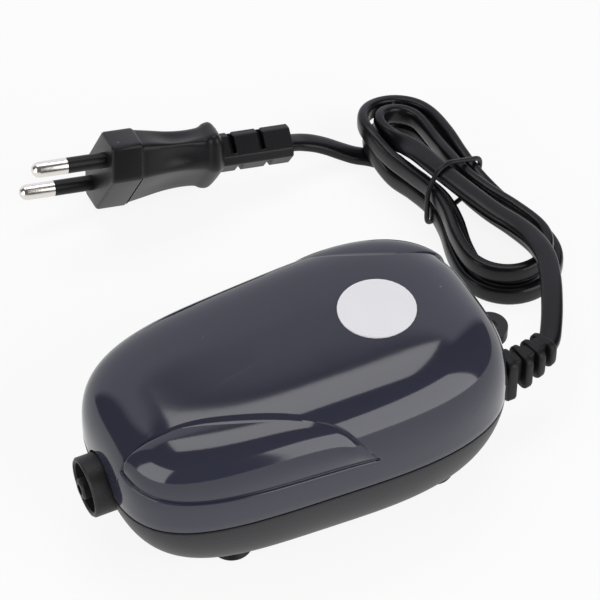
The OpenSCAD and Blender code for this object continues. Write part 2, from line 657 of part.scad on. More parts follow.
// Tail: from the hank's inner end under the loops to the plug
tail_pts = concat([hank_pts[hank_rings]], [[65, 79.6, 3], [63.4, 83.2, 2.1], [60.4, 86, 1.8], [57, 87.8, 2.4],
    [53.6, 89.2, 4.1], [50.2, 90.4, 6.1], [46.8, 91.3, 7.8], [43.4, 91.9, 9]], [plug_pt([plug_end, 0, 0])]);
tail_roll = [upright, 66, 30, 0, 0, 0, 0, 0, 0, 0];
module cord_tail() {
    color("#303034") sweep(tail_pts, tail_roll, 8, cord_w, cord_t, heading(hank_pts, hank_rings), -plug_dir);
}

// Tie: a thin wire ring round the waist of the hank, over the lead
tie_d = 1.3;
tie_turn = 21;
tie_at = 0.4;
tie_play = 0.5;
tie_half = loop_rad(climb_mid, 0) + cord_t / 2 + tie_d / 2 + tie_play;
tie_low = tie_d / 2 + 0.2;
tie_sides = 8;
// Corners of the tie in its own plane: across the hank, then up
tie_path = [[tie_half, 5], [tie_half, 11], [9.4, 14], [5.4, 15.4], [1.4, 17.2], [-2, 17.8], [-5.6, 17.5],
    [-8.2, 15.6], [-9.8, 13.6], [-tie_half, 11], [-tie_half, 5], [2 - tie_half, tie_low + 0.8],
    [5 - tie_half, tie_low], [tie_half - 5, tie_low], [tie_half - 2, tie_low + 0.8]];
tie_pts = [for (p = tie_path) [p[0], 0, p[1]]];
module hank_tie() {
    n = len(tie_pts);
    m = tie_sides;
    pts = [for (i = [0 : n - 1], k = [0 : m - 1])
        let (a = 360 * k / m, d = unit(tie_pts[(i + 1) % n] - tie_pts[(i + n - 1) % n]))
        tie_pts[i] + tie_d / 2 * (cos(a) * [0, 1, 0] + sin(a) * cross([0, 1, 0], d))];
    faces = [for (i = [0 : n - 1], k = [0 : m - 1], half = [0, 1])
        let (j = (i + 1) % n, l = (k + 1) % m, p = i * m + k, q = i * m + l, r = j * m + k, t = j * m + l)
        half == 0 ? [p, q, t] : [p, t, r]];
    color("#2a2a2c") translate([hank_at[0], hank_at[1] + tie_at, 0]) rotate(tie_turn) polyhedron(pts, faces);
}

// Valve block: a cover on the floor, a chamber with two pockets below and a cavity above its wall
cover_in = 0.5;
pocket_wall = 1.6;
port_d = 3.2;
port_x = 4.2;
flap_l = 5.6;
flap_w = 5.4;
flap_seat = 0.35;
hinge_x = 1;
lug_gap = 0.4;
lug_t = 1.3;
lug_l = 2.4;
nipple_l = tube_run - nipple_play;
flap_z_in = wall_top + flap_seat + flap_t / 2;
flap_z_out = wall_low - flap_seat - flap_t / 2;
ring_w = 2.6;
ring_r = cavity_d / 2 + ring_w;
ring_seat = 0.3;
seat_h = 3;
lug_over = 0.6;
module lugs(z, way) {
    reach = bead_d / 2 + lug_over;
    for (sy = [-1, 1]) {
        y = sy * (flap_w / 2 + lug_gap + lug_t / 2);
        difference() {
            translate([-lug_l / 2, y - lug_t / 2, way > 0 ? wall_top : z - reach])
                cube([lug_l, lug_t, reach + (way > 0 ? z - wall_top : wall_low - z)]);
            translate([0, y + lug_t, z]) rotate([90, 0, 0])
                cylinder(r = bead_d / 2 + fit, h = 2 * lug_t, $fn = 24);
        }
    }
}
module valve_chamber() {
    half_w = chamber_w / 2;
    half_l = chamber_l / 2;
    color("#c9c4b4") translate([pump_x, 0, 0]) {
        difference() {
            union() {
                bar([-half_l, -half_w, block_z], [half_l, half_w, block_top]);
                translate([0, 0, block_top - seat_h]) cylinder(r = ring_r + ring_seat, h = seat_h);
                along_x(-half_l - nipple_l, 0, nipple_z) cylinder(d = spigot_d, h = nipple_l + 1);
            }
            translate([0, 0, wall_top]) cylinder(d = cavity_d, h = cavity_h + 1);
            for (sx = [-1, 1]) {
                x0 = sx > 0 ? pocket_wall / 2 : pocket_wall - half_l;
                bar([x0, pocket_wall - half_w, block_z - 1],
                    [x0 + half_l - 1.5 * pocket_wall, half_w - pocket_wall, wall_low]);
                translate([sx * port_x, 0, wall_low - 1]) cylinder(d = port_d, h = wall_t + 2);
            }
            along_x(-half_l - nipple_l - 1, 0, nipple_z)
                cylinder(d = spigot_bore, h = nipple_l + pocket_wall + 2);
            along_x(half_l - pocket_wall - 1, 0, nipple_z) cylinder(d = port_d, h = pocket_wall + 2);
        }
        translate([hinge_x, 0, 0]) lugs(flap_z_in, 1);
        translate([-hinge_x - 1, 0, 0]) lugs(flap_z_out, -1);
    }
}
module valve_cover() {
    half_l = chamber_l / 2 - cover_in;
    half_w = chamber_w / 2 - cover_in;
    color("#8d8a80") bar([pump_x - half_l, -half_w, floor_z], [pump_x + half_l, half_w, block_z]);
}
module flap(x, z, way) {
    color("#b0523c") translate([pump_x + x, 0, z]) {
        rotate([90, 0, 0]) translate([0, 0, -flap_w / 2 - lug_gap - lug_t])
            cylinder(d = bead_d, h = flap_w + 2 * (lug_gap + lug_t), $fn = 24);
        translate([way > 0 ? 0 : -flap_l, -flap_w / 2, -flap_t / 2]) cube([flap_l, flap_w, flap_t]);
    }
}
module inlet_flap() {
    flap(hinge_x, flap_z_in, 1);
}
module outlet_flap() {
    flap(-hinge_x - 1, flap_z_out, -1);
}

// Diaphragm: a rubber cup, clamped at its rim, lifted at its middle by the arm
arm_z = floor_z + arm_rise;
rim_t = 1.2;
cup_t = 1.2;
cup_r = 4.4;
arm_boss = 1;
cup_top = arm_z - arm_t / 2 - arm_boss;
ring_t = 1.4;
stud_d = 2.4;
stud_play = 0.3;
touch = 0.05;
module diaphragm() {
    r = cavity_d / 2;
    hole = stud_d / 2 + stud_play;
    color("#3a3330") translate([pump_x, 0, 0]) rotate_extrude() polygon([
        [hole, cup_top - cup_t], [cup_r - 0.6, cup_top - cup_t], [r - 1, block_top], [ring_r, block_top],
        [ring_r, block_top + rim_t], [r - 0.6, block_top + rim_t], [cup_r, cup_top], [hole, cup_top]]);
}
module diaphragm_ring() {
    color("#a8a498") translate([pump_x, 0, block_top + rim_t]) difference() {
        cylinder(r = ring_r, h = ring_t);
        translate([0, 0, -1]) cylinder(d = cavity_d, h = ring_t + 2);
    }
}
washer_d = 6.6;
washer_t = 0.9;
stud_head = 4.6;
stud_head_t = 1.8;
module diaphragm_screw() {
    low = cup_top - cup_t - touch - washer_t;
    top = arm_z + arm_t / 2;
    color("silver") translate([pump_x, 0, 0]) {
        translate([0, 0, low]) cylinder(d = washer_d, h = washer_t);
        translate([0, 0, low]) cylinder(d = stud_d, h = top - low);
        translate([0, 0, top]) cylinder(d = stud_head, h = stud_head_t);
    }
}

// Swinging arm: turns on a pin in a portal bracket and carries the magnet between the core's legs
pivot_x = case_x - pivot_back;
pole_ahead = 12;
pole_x = case_x + pole_ahead;
magnet_l = 4.5;
magnet_h = 12;
holder_t = 1.5;
magnet_x = pole_x - magnet_gap - magnet_l;
barrel_wall = 2;
barrel_d = pivot_d + 2 * barrel_wall;
barrel_w = 11;
module swing_arm() {
    color("#cfcabb") difference() {
        union() {
            bar([pivot_x, -arm_w / 2, arm_z - arm_t / 2],
                [magnet_x - holder_t, arm_w / 2, arm_z + arm_t / 2]);
            bar([magnet_x - holder_t, -arm_w / 2, arm_z - magnet_h / 2],
                [magnet_x, arm_w / 2, arm_z + magnet_h / 2]);
            translate([pivot_x, barrel_w / 2, arm_z]) rotate([90, 0, 0]) cylinder(d = barrel_d, h = barrel_w);
            translate([pump_x, 0, cup_top + touch]) cylinder(d = 2 * cup_r, h = arm_boss + arm_t / 2);
        }
        translate([pivot_x, barrel_w / 2 + 1, arm_z]) rotate([90, 0, 0])
            cylinder(r = pivot_d / 2 + pivot_gap, h = barrel_w + 2);
        translate([pump_x, 0, cup_top - 1]) cylinder(r = stud_d / 2 + fit, h = arm_t + 4);
    }
}
module drive_magnet() {
    color("#55565a") bar([magnet_x, -arm_w / 2, arm_z - magnet_h / 2],
        [magnet_x + magnet_l, arm_w / 2, arm_z + magnet_h / 2]);
}
barrel_play = 0.4;
post_y = barrel_w / 2 + barrel_play;
post_t = 3;
post_w = 5;
bridge_t = 2.4;
bridge_play = 2;
bridge_z = arm_z + barrel_d / 2 + bridge_play;
foot_play = 0.1;
foot_z = floor_at(pivot_x - case_x - post_w / 2, post_y + post_t) + foot_play;
module pivot_bracket() {
    color("#9a968a") difference() {
        union() {
            for (sy = [-1, 1])
                bar([pivot_x - post_w / 2, min(sy * post_y, sy * (post_y + post_t)), foot_z],
                    [pivot_x + post_w / 2, max(sy * post_y, sy * (post_y + post_t)), bridge_z + bridge_t]);
            bar([pivot_x - post_w / 2, -post_y - 1, bridge_z],
                [pivot_x + post_w / 2, post_y + 1, bridge_z + bridge_t]);
        }
        translate([pivot_x, post_y + post_t + 1, arm_z]) rotate([90, 0, 0])
            cylinder(r = pivot_d / 2 + fit, h = 2 * (post_y + post_t + 1));
    }
}
module pivot_pin() {
    color("silver") translate([pivot_x, post_y + post_t, arm_z]) rotate([90, 0, 0])
        cylinder(d = pivot_d, h = 2 * (post_y + post_t));
}

// Electromagnet: a stack of E plates, a bobbin and its winding on the middle leg, on a cradle
leg_l = 20;
yoke_t = 6;
mid_leg = 7;
window_h = 5;
core_half = mid_leg / 2 + window_h + core_leg;
bobbin_play = 0.2;
bobbin_wall = 1;
bobbin_back = 1;
bobbin_x = pole_x + bobbin_back;
bobbin_l = leg_l - bobbin_back - bobbin_play;
bobbin_lip = 2.8;
module core_stack() {
    color("#7b7d80") difference() {
        bar([pole_x, -stack_t / 2, arm_z - core_half],
            [pole_x + leg_l + yoke_t, stack_t / 2, arm_z + core_half]);
        for (sz = [-1, 1])
            bar([pole_x - 1, -stack_t / 2 - 1, arm_z + sz * (mid_leg + window_h) / 2 - window_h / 2],
                [pole_x + leg_l, stack_t / 2 + 1, arm_z + sz * (mid_leg + window_h) / 2 + window_h / 2]);
    }
}
bobbin_y = stack_t / 2 + bobbin_play + bobbin_wall;
bobbin_z = mid_leg / 2 + bobbin_play + bobbin_wall;
lip_z = mid_leg / 2 + window_h - bobbin_play;
module sleeve(x0, x1, y, z) {
    difference() {
        bar([x0, -y, arm_z - z], [x1, y, arm_z + z]);
        bar([x0 - 1, bobbin_wall - bobbin_y, arm_z - bobbin_z + bobbin_wall],
            [x1 + 1, bobbin_y - bobbin_wall, arm_z + bobbin_z - bobbin_wall]);
    }
}
module coil_bobbin() {
    color("#e0ddd0") {
        sleeve(bobbin_x, bobbin_x + bobbin_l, bobbin_y, bobbin_z);
        sleeve(bobbin_x, bobbin_x + bobbin_wall, bobbin_y + bobbin_lip, lip_z);
        sleeve(bobbin_x + bobbin_l - bobbin_wall, bobbin_x + bobbin_l, bobbin_y + bobbin_lip, lip_z);
    }
}
module coil_winding() {
    y = bobbin_y + bobbin_lip - 0.6;
    z = lip_z - 0.4;
    color("#a5602e") difference() {
        bar([bobbin_x + bobbin_wall, -y, arm_z - z], [bobbin_x + bobbin_l - bobbin_wall, y, arm_z + z]);
        bar([bobbin_x, -bobbin_y, arm_z - bobbin_z], [bobbin_x + bobbin_l, bobbin_y, arm_z + bobbin_z]);
    }
}
cradle_x = pole_x + bobbin_back;
cradle_l = 13;
cheek_t = 1.6;
cheek_h = 3.5;
module core_cradle() {
    y = stack_t / 2 + fit;
    low = arm_z - core_half;
    color("#8a867a") {
        bar([cradle_x, -y - cheek_t, floor_z], [cradle_x + cradle_l, y + cheek_t, low]);
        for (sy = [-1, 1])
            bar([cradle_x, sy > 0 ? y : -y - cheek_t, low - 0.5],
                [cradle_x + cradle_l, sy > 0 ? y + cheek_t : -y, low + cheek_h]);
    }
}

// Air tube: two equal bends and a straight piece lift the air from the chamber to the spigot
tube_r = spigot_d / 2 + fit;
tube_wall = 1;
tube_sides = 16;
tube_steps = 5;
function tube_arc(c, a0, a1) = [for (i = [0 : tube_steps]) let (a = a0 + (a1 - a0) * i / tube_steps)
    c + tube_turn * [cos(a), 0, sin(a)]];
tube_low = tube_arc([tube_face - tube_run, 0, nipple_z + tube_turn], -90, -90 - tube_bend);
tube_top = tube_arc([tube_end + tube_run, 0, outlet_z - tube_turn], 90 - tube_bend, 90);
module hose(r, more) {
    pts = concat([[tube_face + more, 0, nipple_z]], tube_low, tube_top, [[tube_end - more, 0, outlet_z]]);
    sweep(pts, [for (p = pts) 0], tube_sides, 2 * r, 2 * r, [-1, 0, 0], [-1, 0, 0]);
}
module air_tube() {
    color("#5b5f5c") difference() {
        hose(tube_r + tube_wall, 0);
        hose(tube_r, 1);
    }
}
felt_t = 2.4;
module filter_felt() {
    color("#e8e4d8") translate([intake_x, 0, floor_z]) cylinder(d = filter_d, h = felt_t);
}

// Two leads run from the strain relief to the bobbin's rear lip
wire_d = 1.4;
wire_gap = 2;
wire_play = 0.6;
wire_y = -(stack_t / 2 + wire_play + wire_d / 2);
function wire_pts(i) = let (x = rear_x - base_wall - neck_in, e = bobbin_x + bobbin_l,
        half = i * wire_gap / 2)
    [[x, relief_y + half, relief_z], [x - 1, relief_y + half, relief_z],
     [x - 2.3, wire_y, (relief_z + arm_z) / 2 + half], [x - 5, wire_y, arm_z + half],
     [e + 3, wire_y, arm_z + half], [e, wire_y, arm_z + half]];
module coil_leads() {
    color("#b33a2e") for (i = [-1, 1]) {
        pts = wire_pts(i);
        sweep(pts, [for (p = pts) 0], 8, wire_d, wire_d, [-1, 0, 0], [-1, 0, 0]);
    }
}

top_shell();
base();
label_disc();
outlet_collar();
outlet_spigot();
feet();
case_screws();
strain_relief();
cord_lead();
cord_hank();
cord_tail();
hank_tie();
plug_body();
pin_sleeves();
plug_pins();
core_stack();
coil_bobbin();
coil_winding();
core_cradle();
swing_arm();
pivot_pin();
pivot_bracket();
drive_magnet();
diaphragm();
diaphragm_ring();
diaphragm_screw();
valve_chamber();
valve_cover();
inlet_flap();
outlet_flap();
air_tube();
filter_felt();
coil_leads();
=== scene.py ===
# %% [markdown]
# An aquarium air pump: a glossy slate dome on a satin charcoal base, a flat twin cord folded
# into a tied hank, and a two-pin plug. The solids are already built and packed, so this lesson
# loads them as a fixed frame, dresses them, and replaces the soft and wound ones by fuller forms.

# %% Load the frame and keep its box
import bpy, bmesh
import numpy as np
from math import acos, asin, atan2, cos, exp, hypot, pi, radians, sin, sqrt
from mathutils import Matrix, Vector
from numpy.linalg import norm


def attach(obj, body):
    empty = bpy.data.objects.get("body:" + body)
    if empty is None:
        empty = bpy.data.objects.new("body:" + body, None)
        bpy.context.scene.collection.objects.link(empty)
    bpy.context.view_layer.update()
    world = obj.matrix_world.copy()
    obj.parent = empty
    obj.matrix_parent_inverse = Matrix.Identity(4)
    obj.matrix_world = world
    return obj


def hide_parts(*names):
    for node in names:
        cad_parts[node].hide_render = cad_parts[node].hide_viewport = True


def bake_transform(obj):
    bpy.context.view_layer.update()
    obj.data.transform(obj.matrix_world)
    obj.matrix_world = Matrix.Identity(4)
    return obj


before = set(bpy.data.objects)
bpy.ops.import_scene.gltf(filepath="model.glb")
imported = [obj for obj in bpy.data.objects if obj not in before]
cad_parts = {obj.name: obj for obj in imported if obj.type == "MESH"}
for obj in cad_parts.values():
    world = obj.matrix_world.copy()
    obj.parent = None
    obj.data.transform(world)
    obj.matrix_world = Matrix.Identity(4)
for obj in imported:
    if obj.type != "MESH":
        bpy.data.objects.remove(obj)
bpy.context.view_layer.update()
scene = bpy.context.scene
MM = 0.001


def new_object(name, data):
    """A new object in the scene."""
    made = bpy.data.objects.new(name, data)
    scene.collection.objects.link(made)
    return made


# %% [markdown]
# The camera stands where the photograph was taken from: to the left of the case and well above it.
# Its place and its long lens were solved from the outline of the case, so nothing is shifted.

# %% Camera
SENSOR, PHOTO_PX, FOCAL_PX, FAR = 36, 600, 2767.4, 20
EYE, LOOK, ROLL = Vector((-179.45, -379.3, 496.1)), Vector((0.29504, 0.62441, -0.72323)), radians(-0.31)
camera_data = bpy.data.cameras.new("camera")
camera_data.sensor_width = SENSOR
camera_data.lens = FOCAL_PX / PHOTO_PX * SENSOR
camera_data.clip_end = FAR
camera = new_object("camera", camera_data)
forward = LOOK.normalized()
level = forward.cross(Vector((0, 0, 1))).normalized()
above = level.cross(forward)
right = level * cos(ROLL) + above * sin(ROLL)
upright = above * cos(ROLL) - level * sin(ROLL)
camera.location = EYE * MM
camera.rotation_mode = "QUATERNION"
camera.rotation_quaternion = Matrix((right, upright, -forward)).transposed().to_quaternion()
scene.camera = camera
scene.view_settings.view_transform = "Standard"
print("camera at", tuple(round(c, 4) for c in camera.location))

# %% [markdown]
# Finishes share a few effects. Each effect is one node group with named inputs: a fine moulded
# grain, soft blotches of colour, and a sprinkle of dust. The shader itself stays in each material,
# because an exporter can't look for it inside a group.

# %% Helpers that build node trees
def add(tree, kind, sockets=None, **values):
    """A new node. Values are settings or inputs by name, and sockets are inputs with any other key."""
    made = tree.nodes.new(kind)
    for key, value in values.items():
        if hasattr(made, key):
            setattr(made, key, value)
        else:
            made.inputs[key].default_value = value
    for key, value in (sockets or {}).items():
        made.inputs[key].default_value = value
    return made


def link(tree, *rows):
    """Join sockets: each row is a node, its output, the next node and its input."""
    for source, output, target, entry in rows:
        tree.links.new(source.outputs[output], target.inputs[entry])


def new_tree(kind, name, inputs, outputs):
    """A node group with named sockets, each a pair of a label and a type."""
    tree = bpy.data.node_groups.new(name, kind)
    for way, sockets in (("INPUT", inputs), ("OUTPUT", outputs)):
        for label, socket in sockets:
            tree.interface.new_socket(label, in_out=way, socket_type="NodeSocket" + socket)
    return tree, tree.nodes.new("NodeGroupInput"), tree.nodes.new("NodeGroupOutput")


# %% Group: moulded grain, which gives a bump normal and an uneven roughness
def build_grain():
    tree, put, out = new_tree("ShaderNodeTree", "moulded_grain", [
        ("Vector", "Vector"), ("Scale", "Float"), ("Depth", "Float"), ("Roughness", "Float"),
        ("Spread", "Float")], [("Normal", "Vector"), ("Roughness", "Float")])
    fine = add(tree, "ShaderNodeTexNoise", Detail=2.0)
    wide = add(tree, "ShaderNodeTexNoise", Scale=60.0, Detail=3.0)
    bump = add(tree, "ShaderNodeBump", Distance=0.0002)
    shift = add(tree, "ShaderNodeMath", {1: 0.5}, operation="SUBTRACT")
    spread = add(tree, "ShaderNodeMath", operation="MULTIPLY_ADD", use_clamp=True)
    link(tree, (put, "Vector", fine, "Vector"), (put, "Vector", wide, "Vector"),
         (put, "Scale", fine, "Scale"), (put, "Depth", bump, "Strength"), (fine, "Fac", bump, "Height"),
         (wide, "Fac", shift, 0), (shift, 0, spread, 0), (put, "Spread", spread, 1),
         (put, "Roughness", spread, 2), (bump, "Normal", out, "Normal"), (spread, 0, out, "Roughness"))
    return tree


# %% Group: blotches, which mix two near colours and add specks of dust
def build_blotch():
    tree, put, out = new_tree("ShaderNodeTree", "blotch_and_dust", [
        ("Vector", "Vector"), ("Scale", "Float"), ("Colour A", "Color"), ("Colour B", "Color"),
        ("Dust", "Float")], [("Colour", "Color")])
    cloud = add(tree, "ShaderNodeTexNoise", Detail=4.0)
    mix = add(tree, "ShaderNodeMix", data_type="RGBA")
    specks = add(tree, "ShaderNodeTexVoronoi", Scale=260.0)
    pick = add(tree, "ShaderNodeMapRange", {"From Min": 0.1, "From Max": 0.04}, clamp=True)
    rare = add(tree, "ShaderNodeTexNoise", Scale=120.0)
    sparse = add(tree, "ShaderNodeMapRange", {"From Min": 0.66, "From Max": 0.7}, clamp=True)
    both = add(tree, "ShaderNodeMath", operation="MULTIPLY")
    amount = add(tree, "ShaderNodeMath", operation="MULTIPLY")
    pale = add(tree, "ShaderNodeMix", {"B": (0.5, 0.5, 0.52, 1)}, data_type="RGBA")
    link(tree, *((put, "Vector", texture, "Vector") for texture in (cloud, specks, rare)),
         (put, "Scale", cloud, "Scale"), (cloud, "Fac", mix, "Factor"), (put, "Colour A", mix, "A"),
         (put, "Colour B", mix, "B"), (specks, "Distance", pick, "Value"), (rare, "Fac", sparse, "Value"),
         (pick, "Result", both, 0), (sparse, "Result", both, 1), (both, 0, amount, 0),
         (put, "Dust", amount, 1), (amount, 0, pale, "Factor"), (mix, "Result", pale, "A"),
         (pale, "Result", out, "Colour"))
    return tree


GRAIN, BLOTCH = build_grain(), build_blotch()
print("groups", GRAIN.name, BLOTCH.name)


# %% A finish: two near colours, a grain and a gloss
FINISH = {}


def finish_of(name, dark, light, rough, spread, grain, depth, blotch, dust=0.0, **gloss):
    """A material: colours, roughness and its spread, grain and its depth, blotches, dust, shader inputs."""
    FINISH[name] = bpy.data.materials.new(name)
    FINISH[name].use_nodes = True
    tree = FINISH[name].node_tree
    shader = tree.nodes["Principled BSDF"]
    place = add(tree, "ShaderNodeTexCoord")
    grained = add(tree, "ShaderNodeGroup", {
        "Scale": grain, "Depth": depth, "Roughness": rough, "Spread": spread}, node_tree=GRAIN)
    mottled = add(tree, "ShaderNodeGroup", {
        "Scale": blotch, "Colour A": (*dark, 1), "Colour B": (*light, 1), "Dust": dust}, node_tree=BLOTCH)
    link(tree, (place, "Object", grained, "Vector"), (place, "Object", mottled, "Vector"),
         (mottled, "Colour", shader, "Base Color"), (grained, "Roughness", shader, "Roughness"),
         (grained, "Normal", shader, "Normal"))
    shader.inputs["IOR"].default_value = gloss.pop("ior", 1.5)
    for key, value in gloss.items():
        shader.inputs[key.replace("_", " ").title()].default_value = value


# %% The finishes of this pump. Each is named for the slot that it fills.
finish_of("shell_gloss", (0.0235, 0.0243, 0.0395), (0.0265, 0.0273, 0.0430), 0.10, 0.03, 700, 0.012, 40, 0.5)
finish_of("base_satin", (0.012, 0.012, 0.0145), (0.016, 0.016, 0.0185), 0.42, 0.08, 1500, 0.25, 60, 0.2,
          ior=1.36)
finish_of("label_white", (0.77, 0.76, 0.79), (0.80, 0.79, 0.82), 0.5, 0.06, 2500, 0.08, 90)
finish_of("outlet_black", (0.01, 0.01, 0.011), (0.014, 0.014, 0.015), 0.5, 0.1, 1400, 0.3, 80, 0.3, ior=1.38)
finish_of("pin_metal", (0.74, 0.71, 0.66), (0.80, 0.77, 0.72), 0.25, 0.05, 900, 0.012, 120, metallic=1.0)
finish_of("steel", (0.50, 0.51, 0.53), (0.60, 0.61, 0.63), 0.32, 0.1, 900, 0.15, 200, metallic=1.0)
finish_of("lamination", (0.28, 0.29, 0.31), (0.36, 0.37, 0.39), 0.42, 0.12, 1200, 0.2, 150, metallic=1.0)
finish_of("bobbin_nylon", (0.62, 0.59, 0.50), (0.68, 0.65, 0.56), 0.45, 0.08, 1200, 0.1, 80)
finish_of("copper", (0.62, 0.25, 0.10), (0.72, 0.32, 0.14), 0.28, 0.08, 900, 0.08, 200,
          metallic=1.0, coat_weight=0.6)
finish_of("inner_plastic", (0.055, 0.056, 0.060), (0.075, 0.076, 0.080), 0.45, 0.1, 1200, 0.2, 70)
finish_of("magnet", (0.045, 0.043, 0.042), (0.065, 0.062, 0.060), 0.55, 0.12, 1800, 0.35, 160, metallic=0.3)
finish_of("inner_rubber", (0.030, 0.028, 0.026), (0.042, 0.040, 0.037), 0.62, 0.1, 1500, 0.2, 100)
finish_of("felt", (0.70, 0.69, 0.66), (0.82, 0.81, 0.78), 0.9, 0.1, 2600, 0.9, 400, sheen_weight=0.5)
finish_of("tube_clear", (0.80, 0.82, 0.82), (0.88, 0.89, 0.89), 0.25, 0.08, 900, 0.05, 60,
          transmission_weight=0.6)
finish_of("lead_red", (0.33, 0.022, 0.018), (0.42, 0.030, 0.024), 0.4, 0.08, 1200, 0.1, 90)
for row in (
        ("rubber_black", (0.0050, 0.0050, 0.0052), (0.0075, 0.0075, 0.0078), 0.5, 0.1, 1600, 0.3, 90, 0.3),
        ("cord_black", (0.0045, 0.0045, 0.0056), (0.0065, 0.0065, 0.0078), 0.30, 0.08, 1100, 0.12, 70, 0.2),
        ("plug_black", (0.0050, 0.0050, 0.0060), (0.0075, 0.0075, 0.0086), 0.40, 0.08, 1300, 0.22, 70, 0.3),
        ("sleeve_black", (0.0050, 0.0050, 0.0060), (0.0070, 0.0070, 0.0080), 0.4, 0.08, 1500, 0.1, 80),
        ("tie_wire", (0.0045, 0.0045, 0.0055), (0.0070, 0.0070, 0.0080), 0.42, 0.1, 1500, 0.15, 90)):
    finish_of(*row, ior=1.33)
print("finishes", len(FINISH))

# %% [markdown]
# Every piece starts as points and faces in millimetres. They could be drawn by hand, but most of
# this pump is a stack of rings: turned, swept along a line or lofted. So a few helpers make rings
# and join them into closed skins, and one more puts the piece on the body that it moves with.

# %% Helpers that make a mesh piece and put it on its body
JOIN = 1e-6


def merged(mesh, gap):
    """A mesh to work on, with points closer than a gap made one and its faces turned out."""
    work = bmesh.new()
    work.from_mesh(mesh)
    bmesh.ops.remove_doubles(work, verts=work.verts, dist=gap)
    bmesh.ops.recalc_face_normals(work, faces=work.faces)
    return work


def piece_from(name, mesh, slot, smooth):
    """A piece from a mesh in metres, in its slot's finish, smooth but for edges above an angle."""
    made = new_object(name, mesh)
    work = merged(mesh, JOIN)
    for face in work.faces:
        face.smooth = True
    for edge in work.edges:
        edge.smooth = len(edge.link_faces) == 2 and edge.calc_face_angle(0) < radians(smooth)
    work.to_mesh(mesh)
    work.free()
    mesh.materials.clear()
    mesh.materials.append(FINISH[slot])
    return made


def mesh_of(name, *shapes):
    """One mesh in metres from shapes given in millimetres, each a pair of points and faces."""
    points, faces = [], []
    for more, sides in shapes:
        faces += [tuple(i + len(points) for i in side) for side in sides]
        points += [Vector(p) * MM for p in more]
    mesh = bpy.data.meshes.new(name)
    mesh.from_pydata(points, [], faces)
    return mesh


def piece_of(name, slot, smooth, *shapes):
    return piece_from(name, mesh_of(name, *shapes), slot, smooth)


def dress(made, *nodes, body="case"):
    """Put a piece on its body, in place of its nodes."""
    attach(made, body)
    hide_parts(*nodes)
    print(made.name, len(made.data.polygons), "faces on", body)


# %% Helpers that join rings of points into closed skins
def rings_skin(rings, closed=False):
    """Points and faces through a stack of equal rings: capped at both ends, or closed into a loop."""
    n, m = len(rings[0]), len(rings)
    points = [tuple(p) for r in rings for p in r]
    faces = [(k * n + i, k * n + (i + 1) % n, (k + 1) % m * n + (i + 1) % n, (k + 1) % m * n + i)
             for k in range(m if closed else m - 1) for i in range(n)]
    if not closed:
        faces += [tuple(range(n - 1, -1, -1)), tuple((m - 1) * n + i for i in range(n))]
    return points, faces


def filleted(corners, tangents, steps):
    """A closed outline through corners, each rounded over a tangent length."""
    corners = [np.array(c, float) for c in corners]
    made = []
    for i, p in enumerate(corners):
        a, b = corners[i - 1] - p, corners[(i + 1) % len(corners)] - p
        la, lb = norm(a), norm(b)
        r = min(tangents[i % len(tangents)], 0.49 * la, 0.49 * lb)
        start, end = p + a / la * r, p + b / lb * r
        made += [(1 - f) ** 2 * start + 2 * f * (1 - f) * p + f * f * end for f in np.linspace(0, 1, steps)]
    return np.array(made)


def circle_turns(count):
    return 2 * pi * np.arange(count) / count


def lathe(profile, sides, place, closed=False):
    """A turned shape: profile rows are radius and height, and place maps x, y, height to the frame."""
    return rings_skin([[place(max(r, 1e-3) * cos(a), max(r, 1e-3) * sin(a), h)
                        for a in circle_turns(sides)] for r, h in profile], closed)


def along_z(x, y, z):
    return lambda p, q, h: (x + p, y + q, z + h)


def along_x(x, y, z):
    return lambda p, q, h: (x + h, y + p, z + q)


def along_y(x, y, z):
    return lambda p, q, h: (x + p, y + h, z + q)


def curve_through(rows, steps):
    """More rows on a spline through the given ones."""
    rows = np.array(rows, float)
    made = []
    for i in range(len(rows) - 1):
        a, b, c, d = (rows[min(max(j, 0), len(rows) - 1)] for j in (i - 1, i, i + 1, i + 2))
        for f in np.linspace(0, 1, steps, endpoint=False):
            made.append(0.5 * (2 * b + (c - a) * f + (2 * a - 5 * b + 4 * c - d) * f**2
                               + (3 * b - a - 3 * c + d) * f**3))
    return np.array(made + [rows[-1]])


# %% [markdown]
# The cord is a flat twin flex, 5.2 by 3 mm. It leaves the case flat, runs over the hank, turns on
# edge and winds out in an upper layer of loops, steps down, winds back in below, and comes out
# under the loops towards the plug. The route repeats the listed points and the rule of the
# solids, and one smooth line is drawn through them.

# %% Route of the cord, in millimetres
CORD_W, CORD_T = 5.2, 3.0
RELIEF_X, RELIEF_Y, RELIEF_Z, BEND_R, RELIEF_BEND = 48.25, -7.5, 17.2, 32.0, radians(24)
RELIEF_TIP = (RELIEF_X + BEND_R * sin(RELIEF_BEND), RELIEF_Y + BEND_R * (1 - cos(RELIEF_BEND)),
              RELIEF_Z)
LOOP_R, LOOP_STEP, LOOP_HALF, QUARTER, HANK_RINGS = 5.0, 4.2, 24.0, 6, 71
LOW_MORE, WAIST_X, WAIST_STEP, WAIST_LIFT = 2.8, 2.6, 4.1, 1.8
HANK_AT, HANK_TURN, HANK_LOW, LAYER = (71.2, 60.7), radians(7), 2.8, 5.9
TAIL_LIFT, TAIL_CROSS, LIFT_SPREAD, LIFT_MORE = 3.8, (59.0, 86.0), 8.0, 4.0
CLIMB = (31, 35)


